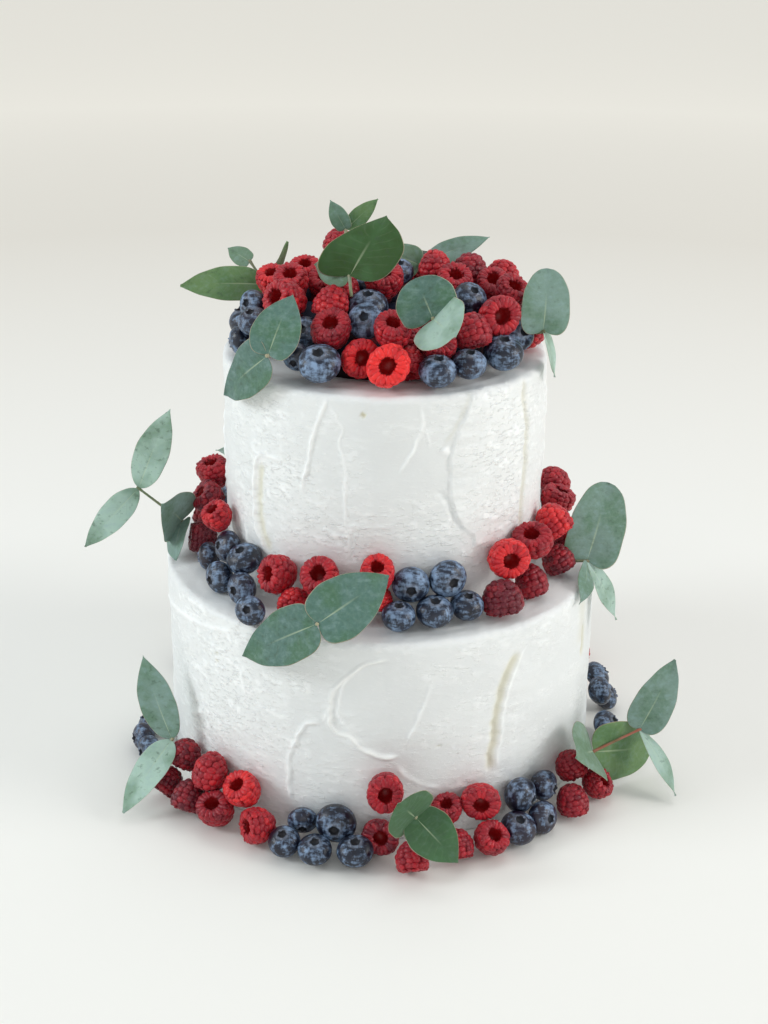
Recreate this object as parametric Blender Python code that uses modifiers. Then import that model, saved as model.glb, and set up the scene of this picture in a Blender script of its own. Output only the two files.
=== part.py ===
# Two-tier frosted cake with raspberries, blueberries and eucalyptus sprigs.
# Z is up and the origin is the middle of the lower tier's base. The front of the cake faces -Y.
# Bearings are degrees round the cake, 0 at the front and growing towards +X.
import math
import random

import bmesh
import bpy
from mathutils import Matrix, Vector
from mathutils.bvhtree import BVHTree

MM = 0.001
FIT_GAP = 0.3           # clearance between neighbouring pieces, mm

# Tiers, mm
LOWER_RADIUS = 111.3
LOWER_HEIGHT = 105.2
UPPER_RADIUS = 80.0
UPPER_TOP = 212.1
UPPER_SHIFT = 1.0       # the upper tier stands this far right of the lower one's axis
RIM_RADIUS = 3.0        # rounding of each tier's top edge
STROKE_DEPTH = 0.9      # how deep the broad spatula strokes are pressed into the frosting
LOWER_SIDES = 42
UPPER_SIDES = 35
SIDE_ROWS = 5

# Berries, mm and mesh detail
BERRY_SIDES = 6
BERRY_SHRINK = 0.94     # berries are this share of their plan size, so that neighbours stay clear
LINK_RADIUS = 3.0       # half thickness of the bridge where two berries of a patch touch
LINK_DEPTH = 0.5        # a bridge begins this share of the radius away from a berry's middle
SINK = 1.5              # a berry this deep in the heap's packed middle needs no bridge
HEAP_SPACE = 2.5        # between neighbours in the rows of the heap's far side
LEAN_GAP = 0.9          # a berry leaning on a tier's side stands this far off its nominal radius
SUPPORT_GAP = 0.3       # a berry on a ledge or at the foot stands this far above what carries it
BACK_RASPBERRY = 18.0
BACK_BLUEBERRY = 15.5
SEED = 11

# Profiles of radius and height for a berry of radius 1, from the end that faces out
RASPBERRY_OPEN = ((0.0, 0.35), (0.6, 0.86), (1.0, 0.0), (0.66, -0.8), (0.0, -1.04))
RASPBERRY_CLOSED = ((0.0, 1.04), (0.66, 0.8), (1.0, 0.0), (0.72, -0.8), (0.0, -0.86))
BLUEBERRY = ((0.0, 0.7), (0.5, 0.86), (1.02, 0.0), (0.66, -0.78), (0.0, -0.96))

# Eucalyptus, mm
LEAF_THICKNESS = 0.7
LEAF_ROWS = 4
LEAF_END = 0.4          # half the width of the blade's blunt tip and of its foot
STEM_RADIUS = 0.9
LEAF_START = 0.5        # the blade begins this far from the middle of the stem
MIDRIB_FOLD = 0.05      # each half of the blade rises by this share of its width

# Colours and roughness
FROSTING = ((0.86, 0.86, 0.83), 0.55)
RASPBERRY_RED = ((0.45, 0.02, 0.03), 0.5)
BLUEBERRY_BLUE = ((0.05, 0.07, 0.14), 0.6)
MIXED_FRUIT = ((0.3, 0.02, 0.04), 0.5)
LEAF_GREEN = ((0.16, 0.26, 0.17), 0.65)

# Each berry is (bearing, reach, rise, diameter, facing bearing, facing lift). Reach is from the
# tier's side, or from the axis on the top heap, and rise is from what carries the patch, both to
# the berry's middle. Reach 0 leans on the side, and rise 0 stands on the ledge or at the foot.
# A raspberry that faces more than 40 degrees down shows its closed tip.
LEDGE_PATCHES = {
    "ledge_fruit_left": {
        "raspberry": [
            (-82, 14, 0, 17, -80, 10), (-67, 0, 30, 16, -60, 60), (-89, 10, 26, 18, -70, 40),
            (-99, 10, 34, 18, -60, 70), (-101, 14, 0, 18, -110, 20)],
        "blueberry": [
            (-60, 0, 18, 14.5, -60, 20), (-49, 0, 18, 16.5, -40, 65), (-70, 13, 0, 13.5, -80, 0),
            (-54, 18, 0, 15, -50, 0), (-44, 17, 0, 15, -40, 10)]},
    "ledge_fruit_front_left": {
        "raspberry": [
            (-33, 0, 18.5, 19, -50, 15), (-19, 0, 21.5, 19.5, -10, 45), (-26, 15, 0, 16, -30, -70),
            (-14, 10, 0, 15, 10, -60)],
        "blueberry": [(-34, 30, 0, 13.5, -20, 30)]},
    "ledge_raspberries_front": {
        "raspberry": [(-2, 0, 25.5, 17, 0, 60), (-1.5, 0, 11.5, 14, 10, -60)]},
    "ledge_blueberries_front": {
        "blueberry": [
            (8, 0, 20, 16.5, 0, -5), (19, 0, 21, 17, 25, 5), (4, 18, 0, 15, 0, 80),
            (14, 17, 0, 16.5, 5, 75), (24, 15, 0, 15.5, 20, 75)]},
    "ledge_raspberries_right": {
        "raspberry": [
            (40, 0, 25, 20, 10, 10), (34, 19, 0, 19.5, 40, -75), (52, 0, 27, 19.5, -20, 60),
            (49, 14, 0, 17, 60, -70), (68, 10, 28, 19, 70, -50), (67, 14, 0, 17, 70, -60),
            (83, 12, 0, 18, 80, 30), (92, 10, 24, 18.5, 90, 70), (105, 14, 26, 18, 120, -60),
            (101, 13, 0, 18, 100, 20)]},
}

FOOT_PATCHES = {
    "foot_blueberries_left": {
        "blueberry": [
            (-75, 18, 0, 14, -60, 10), (-69, 17, 0, 14, -50, 0), (-81, 13, 0, 15, -80, 50)]},
    "foot_raspberries_left": {
        "raspberry": [
            (-54, 0, 21, 17, -60, -60), (-54, 20, 0, 16, -50, -40), (-43, 0, 23, 19, -50, -75),
            (-46, 19, 0, 18, -40, -60), (-38, 18, 0, 18.5, -30, 60), (-33, 0, 21, 18.5, -50, 55),
            (-27, 17, 0, 18.5, -60, 10)]},
    "foot_blueberries_front_left": {
        "blueberry": [
            (-18, 0, 12, 13.5, 0, -20), (-20, 21, 0, 14.5, -20, 70), (-13, 23, 0, 15, -5, 75),
            (-10, 0, 15, 18, -5, 5), (-5, 22, 0, 16, 0, 80)]},
    "foot_raspberries_front": {
        "raspberry": [(1, 0, 34, 19, 0, 15), (0, 11, 0, 18, 0, 30), (6, 28, 0, 17, 10, -50)]},
    "foot_raspberries_front_right": {
        "raspberry": [
            (15, 0, 20, 16, 0, 70), (23, 0, 23, 19, 0, 10), (16, 21, 0, 16, 15, -60),
            (23, 22, 0, 17, 30, 50)]},
    "foot_blueberries_front_right": {
        "blueberry": [
            (34, 0, 18, 17, 60, -5), (42, 0, 16, 15, 60, 0), (30, 20, 0, 16, 20, 70),
            (37, 19, 0, 15, 40, 20)]},
    "foot_raspberries_right": {
        "raspberry": [
            (52, 0, 18, 17, 60, -60), (46, 20, 0, 17.5, 40, -75), (55, 21, 0, 16, 60, 40)]},
    "foot_blueberries_right": {
        "blueberry": [
            (95, 15, 0, 14, 90, 20), (96, 10, 20, 14, 90, 40), (81, 12, 0, 15, 70, 40),
            (88, 0, 20, 15, 90, 10), (74, 13, 0, 15, 60, 20)]},
}

# Runs of fruit round the back: kind, first bearing, last bearing
LEDGE_BACK = {
    "ledge_blueberries_back_right": ("blueberry", 122, 145),
    "ledge_raspberries_back": ("raspberry", 168, 194),
    "ledge_blueberries_back_left": ("blueberry", 224, 245),
}
FOOT_BACK = {
    "foot_raspberries_back_right": ("raspberry", 116, 134),
    "foot_blueberries_back": ("blueberry", 152, 168),
    "foot_raspberries_back": ("raspberry", 192, 210),
    "foot_blueberries_back_left": ("blueberry", 236, 250),
}

HEAP_RASPBERRIES = [
    (11, 56, 8.6, 16, 0, -50), (-12, 57, 11, 18.5, 15, 15), (1, 70, 12, 20.5, -5, 20),
    (18, 42, 14, 16, 0, -60), (24, 59, 17, 17, 0, 40), (39, 63, 22, 18, 30, -60),
    (-27, 55, 22, 19.5, -5, 55), (3, 54, 23, 18, 10, 60), (57, 62, 25, 20.5, 15, 15),
    (-38, 41, 30, 18, -60, -60), (-100, 56, 30, 17, -20, 65), (-60, 54, 30, 20, -50, 25),
    (88, 52, 31, 18, 0, 55), (73, 62, 32, 17, 30, 55), (-87, 29, 32, 17, -10, 55),
    (108, 61, 32, 17, 30, -80), (-79, 46, 34, 18.5, -10, 60), (77, 34, 34, 18.5, 0, 60),
    (-52, 26, 34, 17, 0, -60), (-105, 41, 35, 16, 0, 60), (107, 43, 35, 19.5, 20, -75),
    (-4, 12, 36, 19, 0, 55), (106, 25, 38, 18, 0, -80), (-140, 37, 45, 17, 0, -75)]
HEAP_BLUEBERRIES = [
    (-75, 72, 8, 13.5, -80, -10), (19, 72, 9, 16, 5, 75), (32, 71, 10, 15, 10, 75),
    (50, 71, 11, 18, 5, 75), (-25, 71, 11, 18.5, -5, 60), (-37, 67, 11, 13, -20, -20),
    (67, 68, 14, 15, 30, 30), (-44, 53, 18, 14, -20, 30), (-69, 67, 19, 14.5, -30, 65),
    (58, 34, 23, 14, 0, 0), (-83, 64, 23, 13.5, -40, 20), (-12, 44, 25, 16, -10, 35),
    (-18, 27, 27, 18, -5, 70), (59, 46, 31, 15, 30, 50), (-95, 11, 33, 14, 0, 60),
    (134, 9, 36, 14, 10, 65)]
# Rows of the heap's far side: reach, rise, first bearing, last bearing, diameter, kinds in turn
HEAP_BACK_ROWS = [
    (70, 10, 86, 270, 19, "raspberry raspberry blueberry blueberry"),
    (57, 22, 128, 246, 18, "blueberry raspberry raspberry"),
    (40, 28, 140, 232, 19, "raspberry blueberry"),
    (23, 36, 200, 236, 17, "raspberry")]

# Each sprig is (stem points, leaves). The last stem point is its cut end among the berries.
# A leaf is (stem point it grows from, tip, width, facing bearing, facing lift), in mm.
SPRIGS = {
    "top_sprig_left": ([(-67, 30, 247), (-59, 24, 237), (-57, 19, 239)], [
        (1, (-101, 16, 238), 19, 0, 35), (0, (-79, 38, 252), 10, 10, 20),
        (1, (-48, 28, 258), 14, 75, 10)]),
    "top_sprig_front_left": ([(-52, -62, 226), (-46, -58, 225)], [
        (0, (-41, -50, 251), 23, -15, 25), (0, (-74, -44, 201), 25, -15, 35)]),
    "top_sprig_tall": ([(-18, -14, 273), (-16, -28, 254), (-15, -33, 246)], [
        (1, (1, -36, 284), 38, -10, 20), (1, (-33, -9, 255), 13, -10, 12),
        (0, (-25, -16, 287), 9, -10, 10), (0, (-3, -12, 287), 8.5, 20, 30)]),
    "top_sprig_middle": ([(18, 27, 247), (22, 17, 248)], [
        (0, (0, 26, 254), 16, 0, 20), (0, (53, 28, 261), 12, -5, 30)]),
    "top_sprig_front_right": ([(22, -60, 243), (23, -58, 238)], [
        (0, (14, -58, 261), 28, -5, 25), (0, (31, -78, 240), 28, -55, 42)]),
    "top_sprig_right": ([(75, -30, 229), (72, -29, 228)], [
        (0, (76, -25, 258), 24, 10, 10), (0, (82, -28, 206), 18, 75, 15)]),
    "top_sprig_back": ([(10, 78, 236), (9, 72, 234)], [
        (0, (-14, 86, 246), 18, 190, 25), (0, (38, 86, 234), 17, 170, 35)]),
    "ledge_sprig_left": ([(-126, 4, 134), (-103, -6, 120), (-100, -8, 118)], [
        (0, (-108, 8, 176), 18, -5, 15), (0, (-154, -6, 105), 15, 0, 25),
        (1, (-109, -28, 139), 28, 62, -15), (1, (-104, -28, 108), 17, -30, 10)]),
    "ledge_sprig_front": ([(-29, -113, 117), (-31, -102, 112)], [
        (0, (3, -104, 137), 28, 0, 25), (0, (-64, -98, 92), 26, -20, 30)]),
    "ledge_sprig_right": ([(103, -32, 111), (97, -34, 112)], [
        (0, (113, -18, 148), 30, 10, 15), (0, (119, -38, 81), 16, 60, 35),
        (0, (96, -62, 102), 11, 30, 20)]),
    "ledge_sprig_back": ([(-64, 98, 116), (-58, 86, 114)], [
        (0, (-40, 112, 132), 22, 200, 20), (0, (-96, 92, 122), 21, 215, 35)]),
    "foot_sprig_left": ([(-104, -70, 29), (-110, -70, 18)], [
        (0, (-118, -58, 70), 19, -10, 15), (0, (-125, -100, 6), 17, -15, 45)]),
    "foot_sprig_front": ([(16, -139, 32), (15, -139, 19)], [
        (0, (8, -148, 46), 26, 38, -10), (0, (35, -152, 17), 22, 5, 35)]),
    "foot_sprig_right": ([(131, -60, 30), (107, -68, 22), (104, -70, 21)], [
        (0, (148, -50, 65), 22, 5, 15), (0, (148, -80, 4), 14, 60, 35),
        (1, (140, -48, 13), 32, 0, 15), (1, (94, -96, 37), 32, 86, 35)]),
    "foot_sprig_back": ([(36, 136, 20), (34, 128, 16)], [
        (0, (8, 142, 40), 22, 180, 25), (0, (66, 134, 30), 20, 165, 35)]),
}


def clear_scene():
    for item in list(bpy.data.objects):
        bpy.data.objects.remove(item, do_unlink=True)


def make_collection(name):
    collection = bpy.data.collections.new(name)
    bpy.context.scene.collection.children.link(collection)
    return collection


def make_material(name, look):
    colour, roughness = look
    material = bpy.data.materials.new(name)
    material.use_nodes = True
    shader = material.node_tree.nodes["Principled BSDF"]
    shader.inputs["Base Color"].default_value = (*colour, 1.0)
    shader.inputs["Roughness"].default_value = roughness
    shader.inputs["Metallic"].default_value = 0.0
    return material


def add_object(name, mesh, collection, material=None):
    item = bpy.data.objects.new(name, mesh)
    collection.objects.link(item)
    if material:
        mesh.materials.clear()
        mesh.materials.append(material)
    return item


def evaluated_mesh(item):
    bpy.context.view_layer.update()
    graph = bpy.context.evaluated_depsgraph_get()
    return bpy.data.meshes.new_from_object(item.evaluated_get(graph))


def weld(mesh, triangles=False):
    cage = bmesh.new()
    cage.from_mesh(mesh)
    bmesh.ops.remove_doubles(cage, verts=cage.verts, dist=0.00001)
    bmesh.ops.recalc_face_normals(cage, faces=cage.faces)
    if triangles:
        bmesh.ops.triangulate(cage, faces=cage.faces)
    cage.to_mesh(mesh)
    cage.free()


def turned_mesh(name, profile, sides, collection):
    """A closed turned mesh from (radius, height) pairs in mm that run top to bottom."""
    mesh = bpy.data.meshes.new(name)
    points = [(radius * MM, 0.0, height * MM) for radius, height in profile]
    mesh.from_pydata(points, [(i, i + 1) for i in range(len(points) - 1)], [])
    guide = add_object(name, mesh, collection)
    screw = guide.modifiers.new("turn", "SCREW")
    screw.axis = "Z"
    screw.steps = sides
    screw.render_steps = sides
    screw.use_merge_vertices = True
    screw.merge_threshold = 0.00001
    turned = evaluated_mesh(guide)
    bpy.data.objects.remove(guide, do_unlink=True)
    weld(turned)
    return turned


def tier_profile(radius, height):
    rim = [(radius - RIM_RADIUS, height), (radius - 0.3 * RIM_RADIUS, height - 0.3 * RIM_RADIUS)]
    top = height - RIM_RADIUS
    rows = [(radius, top * (1 - row / SIDE_ROWS) + 1.0) for row in range(SIDE_ROWS)]
    return [(0.0, height)] + rim + rows + [(radius - 1.0, 0.0), (0.0, 0.0)]


def stroke_relief(bearing, share):
    """Depth, 0 to 1, of the broad spatula strokes at a bearing in radians and height share 0 to 1."""
    sweep = math.sin(5 * bearing + 2.4 * share) + 0.6 * math.sin(11 * bearing - 3.1 * share + 1.0)
    swirl = 0.5 * math.sin(3 * bearing + 9.0 * share + 0.7)
    fade = min(1.0, max(0.0, (share - 0.2) / 0.2))
    return fade * (0.5 + 0.24 * (sweep + swirl))


def build_tier(name, radius, base, top, sides, shift, collection, material):
    height = top - base
    mesh = turned_mesh(name, tier_profile(radius, height), sides, collection)
    for vertex in mesh.vertices:
        reach = math.hypot(vertex.co.x, vertex.co.y) / MM
        share = vertex.co.z / MM / height
        if reach > radius - 0.5 and share > 0.01:
            bearing = math.atan2(vertex.co.x, -vertex.co.y)
            pressed = 1.0 - STROKE_DEPTH * stroke_relief(bearing, share) / reach
            vertex.co.x *= pressed
            vertex.co.y *= pressed
    tier = add_object(name, mesh, collection, material)
    tier.location = (shift * MM, 0.0, base * MM)
    mesh.shade_smooth()
    mesh.set_sharp_from_angle(angle=math.radians(40))
    return tier


def on_bearing(bearing, reach, height, shift):
    angle = math.radians(bearing)
    return Vector((shift + reach * math.sin(angle), -reach * math.cos(angle), height))


def facing_vector(bearing, lift):
    turn = math.radians(bearing)
    rise = math.radians(lift)
    return Vector((math.sin(turn) * math.cos(rise), -math.cos(turn) * math.cos(rise), math.sin(rise)))


def ring_berry(kind, spec, radius, floor, shift):
    bearing, reach, rise, diameter, face_bearing, face_lift = spec
    reach = reach or diameter / 2 + LEAN_GAP
    rise = rise or diameter / 2 + SUPPORT_GAP
    centre = on_bearing(bearing, radius + reach, floor + rise, shift)
    return kind, centre, diameter / 2, facing_vector(face_bearing, face_lift)


def back_run(kind, first, last, radius, draw):
    """Specs for a run at the back: a row that stands, and between its berries a row that leans."""
    diameter = BACK_RASPBERRY if kind == "raspberry" else BACK_BLUEBERRY
    stand = 0.95 * diameter
    lean = diameter / 2 + LEAN_GAP
    step = math.degrees((diameter + 0.6) / (radius + stand))
    count = int((last - first) / step) + 1
    half = math.radians(step / 2) * radius
    nested = math.sqrt(max(0.0, diameter ** 2 - half ** 2 - (stand - lean) ** 2))
    specs = []
    for i in range(count):
        bearing = first + i * step
        face = bearing + draw.uniform(-50, 50)
        specs.append((bearing, stand, 0, diameter, face, draw.uniform(0, 60)))
        if i < count - 1:
            specs.append((bearing + step / 2, 0, diameter / 2 + nested, diameter, face,
                          draw.uniform(-10, 60)))
    return specs


def heap_berries(draw):
    berries = []
    plans = [("raspberry", spec) for spec in HEAP_RASPBERRIES]
    plans += [("blueberry", spec) for spec in HEAP_BLUEBERRIES]
    for reach, rise, first, last, diameter, kinds in HEAP_BACK_ROWS:
        turn_list = kinds.split()
        step = math.degrees((diameter + HEAP_SPACE) / reach)
        for i in range(int((last - first) / step) + 1):
            kind = turn_list[i % len(turn_list)]
            size = diameter if kind == "raspberry" else diameter - 2.5
            bearing = first + i * step
            plans.append((kind, (bearing, reach, rise, size, bearing + draw.uniform(-40, 40),
                                 draw.uniform(10, 70))))
    for kind, (bearing, reach, rise, diameter, face_bearing, face_lift) in plans:
        centre = on_bearing(bearing, reach, UPPER_TOP + rise, UPPER_SHIFT)
        berries.append((kind, centre, diameter / 2, facing_vector(face_bearing, face_lift)))
    return berries


def berry_meshes(collection):
    return {
        "open": turned_mesh("raspberry_open", RASPBERRY_OPEN, BERRY_SIDES, collection),
        "closed": turned_mesh("raspberry_closed", RASPBERRY_CLOSED, BERRY_SIDES, collection),
        "blueberry": turned_mesh("blueberry", BLUEBERRY, BERRY_SIDES, collection),
    }


def place_berry(kind, centre, radius, facing, meshes, draw, collection):
    shape = kind
    if kind == "raspberry":
        shape = "closed" if facing.z < math.sin(math.radians(-40)) else "open"
        facing = -facing if shape == "closed" and facing.z > 0 else facing
    berry = add_object(kind, meshes[shape], collection)
    outward = -facing if shape == "closed" else facing
    spin = Matrix.Rotation(draw.uniform(0, 2 * math.pi), 4, "Z")
    turn = outward.to_track_quat("Z", "Y").to_matrix().to_4x4()
    size = Matrix.Scale(radius * BERRY_SHRINK, 4)
    berry.matrix_world = Matrix.Translation(centre * MM) @ turn @ spin @ size
    return berry


def keep_main_body(mesh):
    """Drops sealed hollows and loose scraps, and leaves the one largest closed surface."""
    cage = bmesh.new()
    cage.from_mesh(mesh)
    bmesh.ops.triangulate(cage, faces=cage.faces)
    left = set(cage.faces)
    bodies = []
    while left:
        front = [left.pop()]
        body = list(front)
        while front:
            face = front.pop()
            for edge in face.edges:
                for other in edge.link_faces:
                    if other in left:
                        left.remove(other)
                        front.append(other)
                        body.append(other)
        bodies.append(body)
    largest = max(bodies, key=lambda body: sum(face.calc_area() for face in body))
    scraps = [face for body in bodies if body is not largest for face in body]
    bmesh.ops.delete(cage, geom=scraps, context="FACES")
    cage.to_mesh(mesh)
    cage.free()


def fuse(name, core, pieces, collection, material, solver="EXACT"):
    """Unites the pieces in a collection with the core object, and removes the pieces."""
    union = core.modifiers.new("fuse", "BOOLEAN")
    union.operation = "UNION"
    union.operand_type = "COLLECTION"
    union.collection = pieces
    union.solver = solver
    mesh = evaluated_mesh(core)
    for item in list(pieces.objects):
        bpy.data.objects.remove(item, do_unlink=True)
    bpy.data.collections.remove(pieces)
    bpy.data.objects.remove(core, do_unlink=True)
    keep_main_body(mesh)
    mesh.name = name
    return add_object(name, mesh, collection, material)


def link_object(near, far, collection):
    """A three-sided bridge between two berries, given as (kind, middle, radius, facing) in mm."""
    axis = (far[1] - near[1]).normalized()
    start = near[1] + axis * (LINK_DEPTH * near[2])
    end = far[1] - axis * (LINK_DEPTH * far[2])
    cage = bmesh.new()
    bmesh.ops.create_cone(cage, cap_ends=True, segments=3, radius1=LINK_RADIUS * MM,
                          radius2=LINK_RADIUS * MM, depth=(end - start).length * MM)
    turn = axis.to_track_quat("Z", "Y").to_matrix().to_4x4()
    cage.transform(Matrix.Translation((start + end) / 2 * MM) @ turn)
    mesh = bpy.data.meshes.new("link")
    cage.to_mesh(mesh)
    cage.free()
    return add_object("link", mesh, collection)


def link_berries(joined, loose, collection):
    """Bridges each loose berry to the nearest berry that is already part of the body."""
    joined = list(joined)
    loose = list(loose)
    while loose:
        near, far = min(
            ((near, far) for near in joined for far in loose),
            key=lambda pair: (pair[0][1] - pair[1][1]).length - pair[0][2] - pair[1][2])
        link_object(near, far, collection)
        loose.remove(far)
        joined.append(far)


def build_patch(name, berries, meshes, materials, collection, draw):
    kinds = {berry[0] for berry in berries}
    material = materials[kinds.pop() if len(kinds) == 1 else "mixed"]
    pieces = make_collection(name + "_pieces")
    core = place_berry(*berries[0], meshes, draw, collection)
    core.data = core.data.copy()
    core.data.transform(core.matrix_world)
    core.matrix_world = Matrix.Identity(4)
    for berry in berries[1:]:
        place_berry(*berry, meshes, draw, pieces)
    link_berries(berries[:1], berries[1:], pieces)
    return fuse(name, core, pieces, collection, material)


def heap_core_height(x, y):
    """Height in mm over the tier of the packed middle of the top heap, which falls to the front."""
    side = max(0.0, 1 - (math.hypot(x, y) / 71) ** 8)
    front = max(0.0, 1 - (max(0.0, -y) / 63) ** 1.7)
    back = max(0.0, 1 - (max(0.0, y - 10) / 70) ** 2)
    return 4.5 + 27.0 * side * front * back


def build_heap(meshes, materials, collection, draw):
    name = "top_fruit_heap"
    profile = [(0.0, 1.0), (26.0, 1.0), (46.0, 1.0), (63.0, 1.0), (64.0, 0.0), (0.0, 0.0)]
    mesh = turned_mesh(name, profile, 16, collection)
    for vertex in mesh.vertices:
        x, y = vertex.co.x / MM, vertex.co.y / MM
        if vertex.co.z > 0.5 * MM:
            vertex.co.z = heap_core_height(x, y) * MM
    mesh.transform(Matrix.Translation(Vector((UPPER_SHIFT, 0.0, UPPER_TOP + SUPPORT_GAP)) * MM))
    core = add_object(name, mesh, collection)
    pieces = make_collection(name + "_pieces")
    surface = BVHTree.FromPolygons([vertex.co for vertex in mesh.vertices],
                                   [tuple(face.vertices) for face in mesh.polygons])
    joined = []
    loose = []
    for berry in heap_berries(draw):
        place_berry(*berry, meshes, draw, pieces)
        away = surface.find_nearest(berry[1] * MM)[3] / MM
        held = away < berry[2] * BERRY_SHRINK - SINK
        (joined if held else loose).append(berry)
    link_berries(joined, loose, pieces)
    return fuse(name, core, pieces, collection, materials["mixed"])


def leaf_point(along, across, base, tip, width, normal):
    """A blade's surface: ovate outline, a shallow fold at the midrib and a slow lengthwise bend."""
    axis = tip - base
    side = axis.cross(normal).normalized()
    half = 0.5 * width * abs(math.sin(math.pi * along ** 0.8)) ** 0.8 * (1 - 0.15 * along)
    half = max(half, LEAF_END)
    bend = 0.05 * axis.length * math.sin(math.pi * along)
    ripple = 0.02 * axis.length * math.sin(2.5 * math.pi * along) * across
    lift = bend + ripple + MIDRIB_FOLD * half * abs(across)
    return base + axis * along + side * (half * across) + normal * lift


def leaf_object(name, base, tip, width, normal, collection):
    axis = (tip - base).normalized()
    normal = (normal - axis * normal.dot(axis)).normalized()
    base = base + axis * LEAF_START
    cage = bmesh.new()
    bmesh.ops.create_grid(cage, x_segments=2, y_segments=LEAF_ROWS, size=1.0)
    for vertex in cage.verts:
        across, along = vertex.co.x, (vertex.co.y + 1) / 2
        vertex.co = leaf_point(along, across, base, tip, width, normal) * MM
    bmesh.ops.triangulate(cage, faces=cage.faces)
    mesh = bpy.data.meshes.new(name)
    cage.to_mesh(mesh)
    cage.free()
    blade = add_object(name, mesh, collection)
    solidify = blade.modifiers.new("thickness", "SOLIDIFY")
    solidify.thickness = LEAF_THICKNESS * MM
    solidify.offset = 0.0
    solid = evaluated_mesh(blade)
    bpy.data.objects.remove(blade, do_unlink=True)
    weld(solid, triangles=True)
    return add_object(name, solid, collection)


def stem_object(name, points, collection):
    curve = bpy.data.curves.new(name, "CURVE")
    curve.dimensions = "3D"
    curve.bevel_depth = STEM_RADIUS * MM
    curve.bevel_resolution = 0
    curve.use_fill_caps = True
    spline = curve.splines.new("POLY")
    spline.points.add(len(points) - 1)
    first = points[0] + (points[0] - points[1]).normalized() * 1.2
    for slot, point in zip(spline.points, [first] + points[1:]):
        slot.co = (*(point * MM), 1.0)
    guide = bpy.data.objects.new(name, curve)
    collection.objects.link(guide)
    mesh = evaluated_mesh(guide)
    bpy.data.objects.remove(guide, do_unlink=True)
    weld(mesh, triangles=True)
    return add_object(name, mesh, collection)


def build_sprig(name, stem, leaves, materials, collection):
    points = [Vector(point) for point in stem]
    pieces = make_collection(name + "_pieces")
    for index, (joint, tip, width, face_bearing, face_lift) in enumerate(leaves):
        normal = facing_vector(face_bearing, face_lift)
        leaf_object(f"{name}_leaf_{index}", points[joint], Vector(tip), width, normal, pieces)
    stem_piece = stem_object(name, points, collection)
    return fuse(name, stem_piece, pieces, collection, materials["leaf"], "MANIFOLD")


def main():
    clear_scene()
    cake = make_collection("two_tier_berry_cake")
    draw = random.Random(SEED)
    frosting = make_material("frosting", FROSTING)
    materials = {
        "raspberry": make_material("raspberry", RASPBERRY_RED),
        "blueberry": make_material("blueberry", BLUEBERRY_BLUE),
        "mixed": make_material("mixed_fruit", MIXED_FRUIT),
        "leaf": make_material("leaf", LEAF_GREEN),
    }
    build_tier("lower_tier", LOWER_RADIUS, 0.0, LOWER_HEIGHT, LOWER_SIDES, 0.0, cake, frosting)
    build_tier("upper_tier", UPPER_RADIUS, LOWER_HEIGHT + FIT_GAP, UPPER_TOP, UPPER_SIDES,
               UPPER_SHIFT, cake, frosting)
    meshes = berry_meshes(cake)
    build_heap(meshes, materials, cake, draw)
    rings = (
        (LEDGE_PATCHES, LEDGE_BACK, UPPER_RADIUS, LOWER_HEIGHT, UPPER_SHIFT),
        (FOOT_PATCHES, FOOT_BACK, LOWER_RADIUS, 0.0, 0.0),
    )
    for patches, backs, radius, floor, shift in rings:
        plans = dict(patches)
        for name, (kind, first, last) in backs.items():
            plans[name] = {kind: back_run(kind, first, last, radius, draw)}
        for name, plan in plans.items():
            berries = [ring_berry(kind, spec, radius, floor, shift)
                       for kind, specs in plan.items() for spec in specs]
            build_patch(name, berries, meshes, materials, cake, draw)
    for name, (stem, leaves) in SPRIGS.items():
        build_sprig(name, stem, leaves, materials, cake)


main()
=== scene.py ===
import math

import bpy
import numpy as np
from mathutils import Matrix, Vector


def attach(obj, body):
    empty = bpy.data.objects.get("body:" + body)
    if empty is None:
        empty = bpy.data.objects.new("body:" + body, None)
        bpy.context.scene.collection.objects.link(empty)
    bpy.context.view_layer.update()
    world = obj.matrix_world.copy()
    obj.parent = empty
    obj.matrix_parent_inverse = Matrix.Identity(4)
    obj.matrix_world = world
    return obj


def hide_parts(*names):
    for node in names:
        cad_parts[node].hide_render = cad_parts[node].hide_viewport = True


# Looks of a two-tier frosted cake with raspberries, blueberries and eucalyptus sprigs.
# Plans here are in mm, and makePiece turns them into metres.
# Bearings are degrees round the cake, 0 at the front and growing towards +X.
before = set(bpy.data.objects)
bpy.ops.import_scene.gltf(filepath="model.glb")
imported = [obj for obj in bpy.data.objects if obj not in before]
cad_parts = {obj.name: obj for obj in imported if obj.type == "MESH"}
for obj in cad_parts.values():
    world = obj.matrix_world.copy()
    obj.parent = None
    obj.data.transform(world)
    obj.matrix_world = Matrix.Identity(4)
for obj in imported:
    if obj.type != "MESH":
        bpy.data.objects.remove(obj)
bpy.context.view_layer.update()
print("frame loaded with", len(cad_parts), "nodes")

mm = 0.001
seeds = {"placing": 23, "lattice": 5, "raspberry": 40, "blueberry": 70}
latticeSize = 24
rng = np.random.default_rng(seeds["placing"])
lattice = np.random.default_rng(seeds["lattice"]).uniform(-1, 1, [latticeSize] * 3)


def smooth(x):
    # 0 below 0, 1 above 1 and 3x^2 - 2x^3 between
    x = np.clip(x, 0, 1)
    return x * x * (3 - 2 * x)


def softNoise(x, y, z):
    # random heights on a unit lattice, blended by smooth() along each axis, -1 to 1
    points = np.stack(np.broadcast_arrays(x, y, z), -1)
    cell = np.floor(points).astype(int)
    part = smooth(points - cell)
    total = np.zeros(points.shape[:-1])
    for corner in np.ndindex(2, 2, 2):
        weight = np.prod(np.where(corner, part, 1 - part), axis=-1)
        at = (cell + corner) % latticeSize
        total += weight * lattice[at[..., 0], at[..., 1], at[..., 2]]
    return total


def unit(vectors):
    return vectors / np.linalg.norm(vectors, axis=-1, keepdims=True)


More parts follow.
